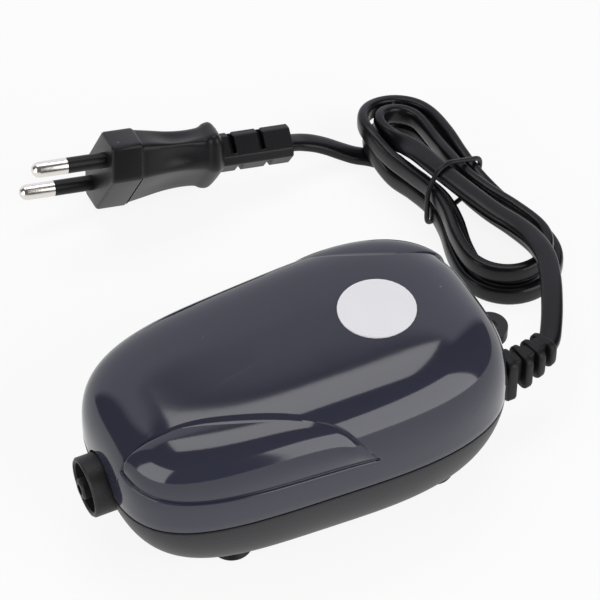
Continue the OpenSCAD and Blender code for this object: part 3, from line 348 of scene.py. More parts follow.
def hank_point(u):
    """A point of the hank. A loop has four quarters: one end, a run, the other end and a run back."""
    quarter, s = divmod(u % (4 * QUARTER), QUARTER)
    f = s / QUARTER
    mid = (1, 1 - 2 * f, -1, -1 + 2 * f)[quarter]
    turn = pi * (1 - f, 0, -f, -1)[quarter]
    k = min(u, sum(CLIMB) - u) / (4 * QUARTER)
    waist = WAIST_X + WAIST_STEP * k
    wide = LOOP_R + (LOW_MORE if mid < 0 else 0) + LOOP_STEP * k
    reach = waist + (wide - waist) * (1 - cos(pi * mid)) / 2
    x, y = reach * cos(turn), mid * LOOP_HALF + reach * sin(turn)
    px = HANK_AT[0] + x * cos(HANK_TURN) - y * sin(HANK_TURN)
    py = HANK_AT[1] + x * sin(HANK_TURN) + y * cos(HANK_TURN)
    layer = min(max((CLIMB[1] - u) / (CLIMB[1] - CLIMB[0]), 0), 1)
    near = hypot(px - TAIL_CROSS[0], py - TAIL_CROSS[1]) / (LIFT_SPREAD + LIFT_MORE * layer)
    lift = max(TAIL_LIFT * exp(-near * near), WAIST_LIFT * (1 + cos(pi * mid)) / 2)
    return (px, py, HANK_LOW + LAYER * layer + lift)


lead = [RELIEF_TIP, (63.4, -3, 17.3), (65.5, 0, 17.4), (67.9, 3.9, 17.4), (70.3, 8.2, 17.3),
        (72.6, 12.6, 17), (74.6, 17, 16.6), (76.4, 21.8, 16.1), (77.2, 26.8, 15.6), (77.1, 31.6, 15),
        (75.9, 36.6, 14.7), (73.5, 42.5, 14.7), (70.9, 50.2, 15.1), (68.8, 57.6, 15.3), (67.2, 64.4, 15.2),
        (66.3, 70, 14.6), (65.4, 75, 13.3), (64.4, 79.4, 11.9)]
lead_roll = [0] * 14 + [4, 16, 40, 70]
hank = [hank_point(u) for u in range(HANK_RINGS + 1)]
PLUG_AT = np.array((-10.1, 97.1, 16.4))
PLUG_X = np.array((0.987173, -0.108985, -0.116671))
PLUG_Y = np.array((0.0442255, -0.515505, 0.855745))
PLUG_Z = np.array((-0.153408, -0.849928, -0.504072))
PLUG_L, PLUG_END = 31.0, 50.5
tail = [(65, 79.6, 3), (63.4, 83.2, 2.1), (60.4, 86, 1.8), (57, 87.8, 2.4), (53.6, 89.2, 4.1),
        (50.2, 90.4, 6.1), (46.8, 91.3, 7.8), (43.4, 91.9, 9), tuple(PLUG_AT + PLUG_X * PLUG_END)]
tail_roll = [66, 30] + [0] * 7
route = np.array(lead + hank + tail, float)
rolls = np.array(lead_roll + [90] * len(hank) + tail_roll, float)
print("route points", len(route))


# %% A smooth line through the points, and a tube along it
def smooth_line(points, rolls, step):
    """Rows of x, y, z, roll every step millimetres along a spline through the points, and its length."""
    rows = []
    for i in range(len(points) - 1):
        a, b, c, d = (points[min(max(j, 0), len(points) - 1)] for j in (i - 1, i, i + 1, i + 2))
        length = norm(c - b)
        pull = lambda p, q: (q - p) / max(norm(q - p), 1e-9) * length
        for f in np.linspace(0, 1, 16, endpoint=False):
            h = (2 * f**3 - 3 * f**2 + 1, f**3 - 2 * f**2 + f, 3 * f**2 - 2 * f**3, f**3 - f**2)
            rows.append((*(h[0] * b + h[1] * pull(a, c) + h[2] * c + h[3] * pull(b, d)),
                         rolls[i] + (rolls[i + 1] - rolls[i]) * f))
    rows = np.array(rows + [(*points[-1], rolls[-1])])
    run = np.concatenate([[0], np.cumsum(norm(np.diff(rows[:, :3], axis=0), axis=1))])
    at = np.linspace(0, run[-1], max(3, round(run[-1] / step) + 1))
    return np.stack([np.interp(at, run, rows[:, k]) for k in range(4)], 1), run[-1]


def flat_section(width, thick, sides, squareness=1.0):
    """A section between an ellipse, at squareness 1, and a box, at 0."""
    a = circle_turns(sides) + pi / sides
    return np.stack([np.sign(w) * abs(w) ** squareness * size / 2
                     for w, size in ((np.cos(a), width), (np.sin(a), thick))], 1)


def tube_rings(line, section, first, last):
    """Rings of a tube along a line: the roll turns the section's width from level to upright."""
    rings = []
    for row, way in zip(line, np.concatenate([[first], line[2:, :3] - line[:-2, :3], [last]])):
        way = way / norm(way)
        side = np.cross(way, (0, 0, 1))
        side /= norm(side)
        up = np.cross(side, way)
        r = radians(row[3])
        across, over = side * cos(r) + up * sin(r), up * cos(r) - side * sin(r)
        rings.append([row[:3] + across * p + over * q for p, q in section])
    return rings


# %% The cord itself
CORD_STEP, CORD_SIDES, CORD_SQUARE = 1.2, 24, 0.62
cord_line, cord_length = smooth_line(route, rolls, CORD_STEP)
first_way = (cos(RELIEF_BEND), sin(RELIEF_BEND), 0)
cord_rings = tube_rings(cord_line, flat_section(CORD_W, CORD_T, CORD_SIDES, CORD_SQUARE), first_way, -PLUG_X)
cord = piece_of("cord", "cord_black", 50, rings_skin(cord_rings))
dress(cord, "cord_lead", "cord_hank", "cord_tail")
print("cord length", round(cord_length, 1), "mm")

# %% [markdown]
# A thin black tie holds the hank at its waist. It is pulled tight, so it is the shortest loop round
# what it holds: the cord's sections that its plane cuts, seen as points, and a band stretched round
# them.

# %% The tie
TIE_TURN, TIE_AT, TIE_R, TIE_GAP = radians(21), 0.4, 0.65, 0.22
TIE_NEAR, TIE_REACH, TIE_STEP, TIE_EVEN = 0.4, 14.0, 0.4, 3
tie_middle = np.array((HANK_AT[0], HANK_AT[1] + TIE_AT, 0))
tie_along = np.array((cos(TIE_TURN), sin(TIE_TURN), 0))
tie_way = np.array((-sin(TIE_TURN), cos(TIE_TURN), 0))


def band_round(points, gap):
    """A tight closed outline at a gap round flat points: the farthest point in each direction, moved out."""
    turns = circle_turns(180)
    outs = np.stack([np.cos(turns), np.sin(turns)], 1)
    return points[np.argmax(points @ outs.T, 0)] + outs * gap


def wire_loop(line, across, radius, sides):
    """A closed round wire in a plane whose normal is across."""
    rings = []
    for i in range(len(line)):
        way = line[(i + 1) % len(line)] - line[i - 1]
        out = np.cross(across, way / norm(way))
        rings.append([line[i] + (across * cos(a) + out * sin(a)) * radius for a in circle_turns(sides)])
    return rings_skin(rings, closed=True)


held = np.concatenate([np.array(r) for r in cord_rings]) - tie_middle
held = held[(abs(held @ tie_way) < TIE_R + TIE_NEAR) & (abs(held @ tie_along) < TIE_REACH)]
band = band_round(np.stack([held @ tie_along, held[:, 2]], 1), TIE_R + TIE_GAP)
run = np.concatenate([[0], np.cumsum(norm(np.roll(band, -1, 0) - band, axis=1))])
steps = np.arange(0, run[-1], TIE_STEP)
band = np.stack([np.interp(steps, run, np.append(band[:, k], band[0, k])) for k in (0, 1)], 1)
band = np.mean([np.roll(band, k, 0) for k in range(-TIE_EVEN, TIE_EVEN + 1)], 0)
tie_line = tie_middle + band[:, :1] * tie_along + band[:, 1:] * np.array((0, 0, 1.0))
dress(piece_of("tie", "tie_wire", 60, wire_loop(tie_line, tie_way, TIE_R, 12)), "hank_tie")
print("tie", band.min(0).round(2), band.max(0).round(2))

# %% [markdown]
# The dome follows one rule: a plan outline whose power differs front and rear, and a profile that
# bulges to the top. The solids use the same rule with few facets. Here it runs with many more, so
# that the gloss is even, and the edge of each leaf panel gets its step. The panel is sunk at its
# edges and swells in its middle. Its lower edge is a ledge with a round, a flat and a cove.

# %% Rule of the case
CASE_X, PART_Z, BODY_L, BODY_W, FLARE, FRONT_N, REAR_N = -1.65, 22.3, 96.0, 57.0, 0.05, 3.5, 3.2
DOME_H, DOME_RISE, DOME_P, DOME_Q, SHELL_WALL = 22.2, 0.09, 5.1, 3.5, 2.0
FINE = 0.0035


def plan_r(t):
    """How far the outline lies from the middle, at an angle."""
    n = np.where(np.cos(t) < 0, FRONT_N, REAR_N)
    wide = BODY_W / 2 * (1 + FLARE * np.cos(t))
    return ((2 * abs(np.cos(t)) / BODY_L) ** n + (abs(np.sin(t)) / wide) ** n) ** (-1 / n)


def dome_point(t, v):
    """A point of the dome, at an angle round it and an angle up it."""
    r = plan_r(t) * np.maximum(np.cos(v), 0) ** (2 / DOME_P)
    x = r * np.cos(t)
    rise = DOME_H * (1 + 2 * DOME_RISE * x / BODY_L) * np.maximum(np.sin(v), 0) ** (2 / DOME_Q)
    return np.stack([CASE_X + x, r * np.sin(t), PART_Z + rise], -1)


def inset(surface, t, v, depth):
    """Points of a surface, moved by a depth against the normal that its two angles give."""
    safe = np.maximum(v, 2 * FINE)
    out = np.cross(surface(t + FINE, safe) - surface(t - FINE, safe),
                   surface(t, safe + FINE) - surface(t, safe - FINE))
    return surface(t, v) - out / norm(out, axis=-1, keepdims=True) * np.asarray(depth)[..., None]


def rise_v(t, rise):
    """The angle up the dome where it has risen by a height."""
    top = DOME_H * (1 + 2 * DOME_RISE * plan_r(t) * np.cos(t) / BODY_L)
    return np.arcsin(np.minimum(rise / top, 1) ** (DOME_Q / 2))


# %% Columns of the shell: angle, arch of the leaf, lower edge of the leaf, share of the depth
LEAF_START, LEAF_RUN, LOW_TIP, LOW_END = 40.8, 44.4, 10.3, 7.2
NEAR_LEAF, FAR_LEAF = (9.0, 19.0), (13.4, 30.0)
ARCH_FROM, ARCH_TO, ARCH_SHARE, ARCH_COLUMNS, END_COLUMNS = -44.8, 1.4, 0.85, 70, 16
TIP_T, END_T, END_STEP = radians(191.03), radians(284.248), 0.004
SLIVER = radians(3)
OUTLET_R, OUTLET_DROP = 7.5, 2.0


def leaf_columns(turn, leaf):
    """Columns along the arch of a leaf and down its rear end, with a plain one before and after."""
    rows = []
    for f in np.linspace(0, 1, ARCH_COLUMNS):
        x = ARCH_FROM + (ARCH_TO - ARCH_FROM) * f
        y = leaf[0] + leaf[1] * (max(0, x + LEAF_START) / LEAF_RUN) ** 2
        t = pi + atan2(y, -x) + turn
        v = acos(min(hypot(x, y) / plan_r(t), 1) ** (DOME_P / 2))
        rows.append((t, v, ARCH_SHARE * f, 1.0))
    arch_end = np.array(rows[-1])
    low_end = np.array((END_T + turn, float(rise_v(END_T + turn, LOW_END)), 1.0, 1.0))
    rows += [tuple(arch_end + (low_end - arch_end) * f) for f in np.linspace(0, 1, END_COLUMNS)[1:]]
    rows = [(TIP_T + turn, 0, 0.0, 0.0)] + rows + [(END_T + turn + END_STEP, 0, 1.0, 0.0)]
    made = []
    for t, v, f, depth in rows:
        low = float(rise_v(t, LOW_TIP + (LOW_END - LOW_TIP) * f))
        made.append((t, max(v, low + SLIVER), low, depth if v > low else 0.0))
    return made


def plain_columns(angles):
    return [(t, float(rise_v(t, LOW_END)) + SLIVER, float(rise_v(t, LOW_END)), 0.0) for t in angles]


def between(a, b, n):
    return list(np.linspace(a, b, n + 2)[1:-1])


outlet_half = sqrt(OUTLET_R**2 - OUTLET_DROP**2)
outlet_angles = [3 * pi - asin(2 * outlet_half * cos(a) / BODY_L)
                 for a in np.linspace(0, pi, 41)]
columns = np.array(
    leaf_columns(0, NEAR_LEAF) + plain_columns(between(END_T + END_STEP, TIP_T + pi, 60))
    + leaf_columns(pi, FAR_LEAF)
    + plain_columns(between(END_T + pi + END_STEP, outlet_angles[0], 44)) + plain_columns(outlet_angles)
    + plain_columns(between(outlet_angles[-1], TIP_T + 2 * pi, 4)))
print("columns", len(columns))

# %% Rings of the shell, from its top down to the rim and back up inside
LEAF_DEPTH, LEAF_BULGE, LEAF_WIDE = 0.7, 2.0, radians(30)
ARCH_STEP, LOW_STEP, RIM_R = radians(3.0), radians(1.5), 0.35
LEDGE_ROUND, LEDGE_FLAT, LEDGE_COVE, LEDGE_TILT = 0.42, 0.3, 0.2, 72
DOME_TOP, TOP_POWER = radians(89), 1.15
TOP_RINGS, STEP_RINGS, PANEL_RINGS, WALL_RINGS = 26, 11, 30, 9


def leaf_depth(v, arch, low, share):
    """How deep a leaf panel is sunk. Below 0 it swells out."""
    full = np.minimum((arch - low) / LEAF_WIDE, 1)
    return LEAF_DEPTH * share * (1 - LEAF_BULGE * full * np.sin(np.pi * (arch - v) / (arch - low)))


def ledge_profile():
    """Rows across the ledge: shares of its height and of its depth, from the panel to the dome."""
    turn = np.radians(np.linspace(0, LEDGE_TILT, 8))
    arc = np.stack([np.sin(turn), 1 - np.cos(turn)], -1)
    down, back = arc * LEDGE_ROUND, (arc[-1] - arc[::-1]) * LEDGE_COVE
    flat = LEDGE_FLAT * np.array([cos(turn[-1]), sin(turn[-1])])
    path = np.concatenate([down, down[-1] + flat + back])
    return (path / path[-1])[::-1]


def shell_rings(c):
    t, arch, low, share = c.T
    rings = [dome_point(t, arch + (DOME_TOP - arch) * (1 - s) ** TOP_POWER)
             for s in np.linspace(0, 1, TOP_RINGS)]
    step, ledge = np.minimum(ARCH_STEP, (arch - low) / 3), np.minimum(LOW_STEP, (arch - low) / 4)
    panel = [(arch - step * s, s * s) for s in np.linspace(0, 1, STEP_RINGS)[1:]]
    panel += [(arch - step + (low + ledge - arch + step) * s, 1) for s in np.linspace(0, 1, PANEL_RINGS)[1:]]
    panel += [(low + ledge * height, sunk) for height, sunk in ledge_profile()[1:]]
    rings += [inset(dome_point, t, v, leaf_depth(v, arch, low, share) * sunk) for v, sunk in panel]
    notch = np.sqrt(np.maximum(OUTLET_R**2 - dome_point(t, t * 0)[:, 1] ** 2, 0)) - OUTLET_DROP
    rise = np.where(np.cos(t) < 0, np.maximum(notch, 0), 0)
    rim, rolled = rise_v(t, rise), rise_v(t, rise + RIM_R)
    rings += [dome_point(t, low + (rolled - low) * s) for s in np.linspace(0, 1, WALL_RINGS)[1:]]
    rings += [inset(dome_point, t, rise_v(t, rise + RIM_R * (1 - sin(a))), RIM_R * (1 - cos(a)))
              for a in np.radians((25, 50, 75, 90))]
    rings += [inset(dome_point, t, rim + (pi / 2 - rim) * s, SHELL_WALL)
              for s in (0, 0.1, 0.25, 0.45, 0.7, 0.98)]
    return rings


dress(piece_of("shell", "shell_gloss", 50, rings_skin(shell_rings(columns))), "top_shell")

# %% [markdown]
# The base has the same plan, and its own profile turns under to the sole. Its solid keeps the wells,
# the intake holes and the eye, but its facets are coarse. A thin skin with fine facets lies on it, from
# the rim to just above the screw wells, and rounds the edge along the seam.

# %% Skin of the base. Its second angle runs down, so here a depth below 0 sinks.
BASE_H, BASE_P, BASE_Q, SEAM, SKIN_T, SKIN_LIFT, EDGE_R = 19.6, 7.2, 1.56, 0.3, 0.3, 0.02, 0.25
SKIN_END, WELL_LESS, WELL_T, WELL_SPREAD = 66, 14, 20, 9


def base_point(t, v):
    r = plan_r(t) * np.cos(v) ** (2 / BASE_P)
    return np.stack([CASE_X + r * np.cos(t), r * np.sin(t), PART_Z - BASE_H * np.sin(v) ** (2 / BASE_Q)], -1)


def base_skin_rings(t):
    y = base_point(t, t * 0)[:, 1]
    notch = (np.cos(t) < 0) & (abs(y) < OUTLET_R)
    drop = np.where(notch, np.sqrt(np.maximum(OUTLET_R**2 - y**2, 0)) + OUTLET_DROP, SEAM)
    drop_v = lambda more: np.arcsin(((drop + more) / BASE_H) ** (BASE_Q / 2))
    to_well = abs(abs((np.degrees(t) + 90) % 180 - 90) - WELL_T)
    start, end = drop_v(EDGE_R), np.radians(SKIN_END - WELL_LESS * np.exp(-((to_well / WELL_SPREAD) ** 2)))
    rings = [inset(base_point, t, drop_v(EDGE_R * (1 - sin(a))), SKIN_LIFT - EDGE_R * (1 - cos(a)))
             for a in np.radians((90, 60, 30, 0))]
    rings += [inset(base_point, t, start + (end - start) * s, SKIN_LIFT) for s in np.linspace(0, 1, 36)[1:]]
    rings += [inset(base_point, t, end + (drop_v(0) - end) * s, -SKIN_T) for s in np.linspace(0, 1, 8)]
    return rings


base_skin = piece_of("base_skin", "base_satin", 50, rings_skin(base_skin_rings(columns[:, 0]), closed=True))
dress(base_skin, "base")

# %% [markdown]
# Feet, screws, posts and core plates repeat one form. Geometry Nodes set that form out in rows: two
# lines of points, one inside the other, carry copies of the mesh that the modifier sits on. The
# result is made real, gets its material, and is kept as a plain mesh.

# %% A tree that sets out copies in rows
GEOMETRY = ("Geometry", "Geometry")


def end_tree(tree, put, out, copies):
    """End a tree: its copies are made real and get their material."""
    real, paint = add(tree, "GeometryNodeRealizeInstances"), add(tree, "GeometryNodeSetMaterial")
    link(tree, (copies, 0, real, 0), (real, 0, paint, "Geometry"), (put, "Material", paint, "Material"),
         (paint, 0, out, "Geometry"))
    return tree


def build_rows():
    tree, put, out = new_tree("GeometryNodeTree", "set_out_in_rows", [
        GEOMETRY, ("Count", "Int"), ("Step", "Vector"), ("Rows", "Int"), ("Row Step", "Vector"),
        ("Material", "Material")], [GEOMETRY])
    inner, outer = add(tree, "GeometryNodeMeshLine"), add(tree, "GeometryNodeMeshLine")
    copies, rows = add(tree, "GeometryNodeInstanceOnPoints"), add(tree, "GeometryNodeInstanceOnPoints")
    link(tree, (put, "Count", inner, "Count"), (put, "Step", inner, "Offset"), (put, "Rows", outer, "Count"),
         (put, "Row Step", outer, "Offset"), (inner, 0, copies, "Points"),
         (put, "Geometry", copies, "Instance"), (outer, 0, rows, "Points"), (copies, 0, rows, "Instance"))
    return end_tree(tree, put, out, rows)


def taken_from(holder):
    """The mesh that an object's modifiers make. The object itself goes."""
    mesh = bpy.data.meshes.new_from_object(holder.evaluated_get(bpy.context.evaluated_depsgraph_get()))
    bpy.data.objects.remove(holder)
    return mesh


def grown(name, pattern, tree, **values):
    """The mesh that a tree makes of a pattern mesh, with its named inputs set first."""
    holder = new_object(name, pattern)
    grow = holder.modifiers.new("grow", "NODES")
    grow.node_group = tree
    for socket in tree.interface.items_tree:
        label = socket.name.replace(" ", "_").lower()
        if socket.in_out == "INPUT" and label in values:
            grow[socket.identifier] = values[label]
    return taken_from(holder)


ROWS = build_rows()


def set_out(name, slot, smooth, pattern, count, step, rows=1, row_step=(0, 0, 0)):
    mesh = grown(name, pattern, ROWS, count=count, step=[c * MM for c in step], rows=rows,
                 row_step=[c * MM for c in row_step], material=FINISH[slot])
    return piece_from(name, mesh, slot, smooth)


# %% Feet: the lip's rows are how far it stands out from the stem, and its height
FOOT_FRONT, FOOT_REAR, FOOT_Y, FOOT_R, FOOT_TOP = 22.8, 28.8, 14.0, 3.5, 4.3
FOOT_LIP = ((-1.5, 0.1), (-1.2, 0), (0.8, 0), (1.25, 0.1), (1.4, 0.4), (1.2, 0.9), (0.4, 1.5), (0, 2.1))
foot = lathe([(0, 0.1)] + [(FOOT_R + more, h) for more, h in FOOT_LIP] + [(FOOT_R, FOOT_TOP), (0, FOOT_TOP)],
             40, along_z(CASE_X - FOOT_FRONT, -FOOT_Y, 0))
feet = set_out("feet_form", "rubber_black", 35, mesh_of("foot", foot), 2, (FOOT_FRONT + FOOT_REAR, 0, 0),
               2, (0, 2 * FOOT_Y, 0))
dress(feet, "feet")

# %% Screws: a head, a thread of ridges, and a cross cut into the head
SCREW_X, SCREW_Y, SEAT_Z, SCREW_TOP = 35.0, 13.0, 10.5991, 31.3
SCREW_HEAD = [(0, -2), (2.2, -2), (2.6, -1.85), (2.8, -1.4), (2.8, 0), (1.45, 0)]
CORE_R, RIDGE, THREAD_FROM, THREAD_STEP, THREAD_ROWS = 1.12, 0.33, 4, 0.45, 36
CROSS_HALF, CROSS_REACH, CUT_JOIN = 0.35, 1.7, 1e-7


def carved(mesh, cutter):
    """A mesh with a cutter's shape taken out of it."""
    holder, tool = new_object("carved", mesh), new_object("cutter", cutter)
    cut = holder.modifiers.new("cut", "BOOLEAN")
    cut.operation, cut.solver, cut.object = "DIFFERENCE", "EXACT", tool
    made = taken_from(holder)
    bpy.data.objects.remove(tool)
    return made


def closed_mesh(name, shape):
    """A mesh that a cut can use: one closed skin."""
    mesh = mesh_of(name, shape)
    work = merged(mesh, CUT_JOIN)
    work.to_mesh(mesh)
    work.free()
    return mesh


thread = [(CORE_R + RIDGE * (i % 2), THREAD_FROM + THREAD_STEP * i) for i in range(THREAD_ROWS)]
screw = lathe([(r, SEAT_Z + h) for r, h in SCREW_HEAD + thread] + [(0.6, SCREW_TOP - 0.4), (0, SCREW_TOP)],
              24, along_z(CASE_X - SCREW_X, -SCREW_Y, 0))
arm = [(CROSS_HALF, CROSS_HALF), (CROSS_HALF, CROSS_REACH), (-CROSS_HALF, CROSS_REACH)]
arms = [(c * x - s * y, s * x + c * y) for c, s in ((1, 0), (0, 1), (-1, 0), (0, -1)) for x, y in arm]
cross = rings_skin([[(CASE_X - SCREW_X + x * k, -SCREW_Y + y * k, SEAT_Z + h) for x, y in arms]
                    for k, h in ((1.05, -2.3), (0.75, -0.9))])
one_screw = carved(closed_mesh("screw", screw), closed_mesh("cross", cross))
screws = set_out("screws", "steel", 35, one_screw, 2, (2 * SCREW_X, 0, 0), 2, (0, 2 * SCREW_Y, 0))
dress(screws, "case_screws")

# %% The shell's screw posts
POST_R, PILOT_R, PILOT_L = 3.5, 1.5, 10
for name, x, post_top in (("posts_front", -SCREW_X, 38.77), ("posts_rear", SCREW_X, 41.58)):
    post = lathe([(PILOT_R, PART_Z), (POST_R - 0.2, PART_Z), (POST_R, PART_Z + 0.2), (POST_R, post_top),
                  (0, post_top), (0, PART_Z + PILOT_L + 0.5), (PILOT_R, PART_Z + PILOT_L)],
                 32, along_z(CASE_X + x, -SCREW_Y, 0), closed=True)
    dress(set_out(name, "shell_gloss", 35, mesh_of("post", post), 2, (0, 2 * SCREW_Y, 0)), "top_shell")

# %% [markdown]
# The plug is one moulding. Its front is a six-sided flange. Behind it the body narrows, pinches in
# for the fingers, swells to two ears and drops to a slotted strain relief. Sections are lofted from
# a short table of half width, corner and half thickness, with every corner rounded. The slotted end
# keeps its solid, cut off at the ears, with its edges broken.

# %% Sections of the plug
PLUG_HALF_W, PLUG_HALF_T, FLANGE, SCOOP, EARS = 17.9, 6.85, 8.0, 1.3, 0.87
PLUG_ROWS = [(FLANGE + 0.6, 0.9, 0.58, 0.94)] + [(f * PLUG_L, w, c, t) for f, w, c, t in (
    (0.4, 0.86, 0.55, 0.87), (0.55, 0.8, 0.5, 0.8), (0.7, 0.76, 0.46, 0.78), (0.82, 0.74, 0.44, 0.82),
    (0.875, 0.8, 0.44, 0.94), (0.92, 0.8, 0.43, 0.98), (0.955, 0.71, 0.38, 0.93), (1, 0.5, 0.28, 0.78))]


def plug_place(x, y, z):
    return PLUG_AT + PLUG_X * x + PLUG_Y * y + PLUG_Z * z


def plug_ring(x, w, c, t, less, edge, corner):
    """A six-sided section whose faces are scooped between the flange and the ears."""
    w, c, t = w * PLUG_HALF_W - less, c * PLUG_HALF_W - 0.4 * less, t * PLUG_HALF_T - less
    f = min(max((x - FLANGE - 1) / (EARS * PLUG_L - FLANGE - 1), 0), 1)
    scoop = SCOOP * sin(pi * f) ** 2
    slant = hypot(w - c, t)
    p, q, top = (w + c) / 2 - scoop * t / slant, t / 2 - scoop * (w - c) / slant, t - 0.4 * scoop
    half = [(w, 0), (p, -q), (c, -t), (0, -top), (-c, -t), (-p, -q)]
    flat = filleted(half + [(-y, -z) for y, z in half], (edge, 4, corner, 4, corner, 4), 6)
    return [plug_place(x, y, z) for y, z in flat]


plug_rings = [plug_ring(x, 1, 0.62, 1, less, 1.2, 1.0) for x, less in (
    (0, 0.8), (0.08, 0.45), (0.3, 0.15), (0.7, 0),
    (FLANGE - 0.7, 0), (FLANGE - 0.3, 0.12), (FLANGE - 0.06, 0.4), (FLANGE, 0.7))]
plug_rings += [plug_ring(x, 0.9, 0.58, 0.94, less, 1.4, 1.1)
               for x, less in ((FLANGE + 0.02, -0.35), (FLANGE + 0.2, -0.1))]
for x, w, c, t in curve_through(PLUG_ROWS, 6):
    soft = min(1, (x - FLANGE) / 18)
    plug_rings.append(plug_ring(x, w, c, t, 0, 1.4 + 1.2 * soft, 1.1 + 0.9 * soft))
dress(piece_of("plug", "plug_black", 42, rings_skin(plug_rings)), "plug_body")


# %% A copy of a solid, merged, smooth and with its hard edges broken
def smooth_copy(name, node, slot, smooth, bevel=0.0, cut=None):
    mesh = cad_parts[node].data.copy()
    work = bmesh.new()
    work.from_mesh(mesh)
    bmesh.ops.remove_doubles(work, verts=work.verts, dist=JOIN)
    if cut:
        everything = list(work.verts) + list(work.edges) + list(work.faces)
        bmesh.ops.bisect_plane(work, geom=everything, plane_co=Vector(cut[0]) * MM, plane_no=Vector(cut[1]),
                               clear_inner=True)
        bmesh.ops.holes_fill(work, edges=[e for e in work.edges if e.is_boundary])
    if bevel:
        bmesh.ops.dissolve_limit(work, angle_limit=radians(1), verts=work.verts, edges=work.edges)
    work.to_mesh(mesh)
    work.free()
    made = piece_from(name, mesh, slot, smooth)
    if bevel:
        edges = made.modifiers.new("edges", "BEVEL")
        edges.width, edges.segments, edges.limit_method = bevel * MM, 3, "ANGLE"
        edges.angle_limit = radians(smooth)
        edges.use_clamp_overlap = True
        made.modifiers.new("normals", "WEIGHTED_NORMAL").keep_sharp = True
    return made


tail_cut = (plug_place(PLUG_L - 0.9, 0, 0), PLUG_X)
dress(smooth_copy("plug_end", "plug_body", "plug_black", 30, 0.3, tail_cut), "plug_body")

# %% [markdown]
# The strain relief at the case is soft moulded rubber: a neck through the wall, a tall plate, and
# three ribs on a bent spine. Each is a block of rounded sections that follows the bend.

# %% Strain relief
PLATE_T, PLATE_W, PLATE_H, PLATE_LOW = 2.6, 6.8, 13.0, 1.4
SPINE_W, SPINE_H, RIB_T, RIB_STEP, NECK_FROM, NECK_R, BARB_R, BARB_L = 3.6, 7.5, 2.0, 3.6, 39.55, 3, 4, 1.2
RELIEF_L = BEND_R * RELIEF_BEND


def bent_place(s, across, z):
    r = BEND_R + across
    return (RELIEF_X + r * sin(s / BEND_R), RELIEF_Y + BEND_R - r * cos(s / BEND_R), RELIEF_Z + z)


def straight_place(s, across, z):
    return (RELIEF_X + s, RELIEF_Y - across, RELIEF_Z + z)


def soft_block(place, start, end, w, h, low, corner, edge):
    """A block from start to end whose sections are rounded, and whose two faces have broken edges."""
    rings = []
    for s, less in ((start, edge), (start + 0.3 * edge, 0.3 * edge), (start + edge, 0),
                    ((start + end) / 2, 0), (end - edge, 0), (end - 0.3 * edge, 0.3 * edge), (end, edge)):
        y, z = w / 2 - less, h / 2 - less
        flat = filleted([(y, -z), (y, z), (-y, z), (-y, -z)], (corner,), 7)
        rings.append([place(s, p, q - low) for p, q in flat])
    return rings_skin(rings)


relief_shapes = [soft_block(straight_place, 0, PLATE_T, PLATE_W, PLATE_H, PLATE_LOW, 2.2, 0.5),
                 soft_block(bent_place, 0.4, RELIEF_L - 0.1, SPINE_W, SPINE_H, 0, 0.7, 0.2)]
for i, (w, h, low) in enumerate(((7.4, 10.2, 0.7), (7.3, 8.9, 0.35), (7.2, 7.6, 0))):
    end = RELIEF_L - (2 - i) * RIB_STEP
    relief_shapes.append(soft_block(bent_place, end - RIB_T, end, w, h, low, 2.4, 0.45))
relief_shapes.append(lathe([(0, NECK_FROM), (BARB_R, NECK_FROM), (BARB_R, NECK_FROM + BARB_L),
                            (NECK_R, NECK_FROM + BARB_L), (NECK_R, RELIEF_X + 0.2), (0, RELIEF_X + 0.2)],
                           32, along_x(0, RELIEF_Y, RELIEF_Z)))
dress(piece_of("strain_relief_form", "rubber_black", 45, *relief_shapes), "strain_relief")

# %% [markdown]
# Rigid solids whose shape is right keep it. A merged, smoothly shaded copy stands for those that
# show outside.

# %% Outside pieces from the solids
for node, slot, smooth in (
        ("base", "base_satin", 32), ("label_disc", "label_white", 40), ("outlet_collar", "outlet_black", 32),
        ("outlet_spigot", "outlet_black", 32), ("pin_sleeves", "sleeve_black", 35),
        ("plug_pins", "pin_metal", 35)):
    dress(smooth_copy(node + "_form", node, slot, smooth), node)

# %% [markdown]
# Inside, the coil is wound in four layers of enamelled wire. Each turn is a rectangle with rounded
# corners, swept by a small circle and set out along the bobbin by a tree of its own.

# %% A tree that winds turns
def build_turns():
    tree, put, out = new_tree("GeometryNodeTree", "wound_turns", [
        GEOMETRY, ("Width", "Float"), ("Height", "Float"), ("Corner", "Float"), ("Wire", "Float"),
        ("Turns", "Int"), ("Start", "Vector"), ("Step", "Vector"), ("Material", "Material")], [GEOMETRY])
    square = add(tree, "GeometryNodeCurvePrimitiveQuadrilateral")
    bend = add(tree, "GeometryNodeFilletCurve", mode="POLY", Count=4)
    circle = add(tree, "GeometryNodeCurvePrimitiveCircle", Resolution=6)
    tube = add(tree, "GeometryNodeCurveToMesh")
    stand = add(tree, "GeometryNodeTransform", Rotation=(pi / 2, 0, pi / 2))
    row, copies = add(tree, "GeometryNodeMeshLine"), add(tree, "GeometryNodeInstanceOnPoints")
    link(tree, (put, "Width", square, "Width"), (put, "Height", square, "Height"),
         (square, 0, bend, "Curve"), (put, "Corner", bend, "Radius"), (put, "Wire", circle, "Radius"),
         (bend, 0, tube, "Curve"),
         (circle, 0, tube, "Profile Curve"), (tube, 0, stand, "Geometry"), (put, "Turns", row, "Count"),
         (put, "Start", row, "Start Location"), (put, "Step", row, "Offset"), (row, 0, copies, "Points"),
         (stand, 0, copies, "Instance"))
    return end_tree(tree, put, out, copies)


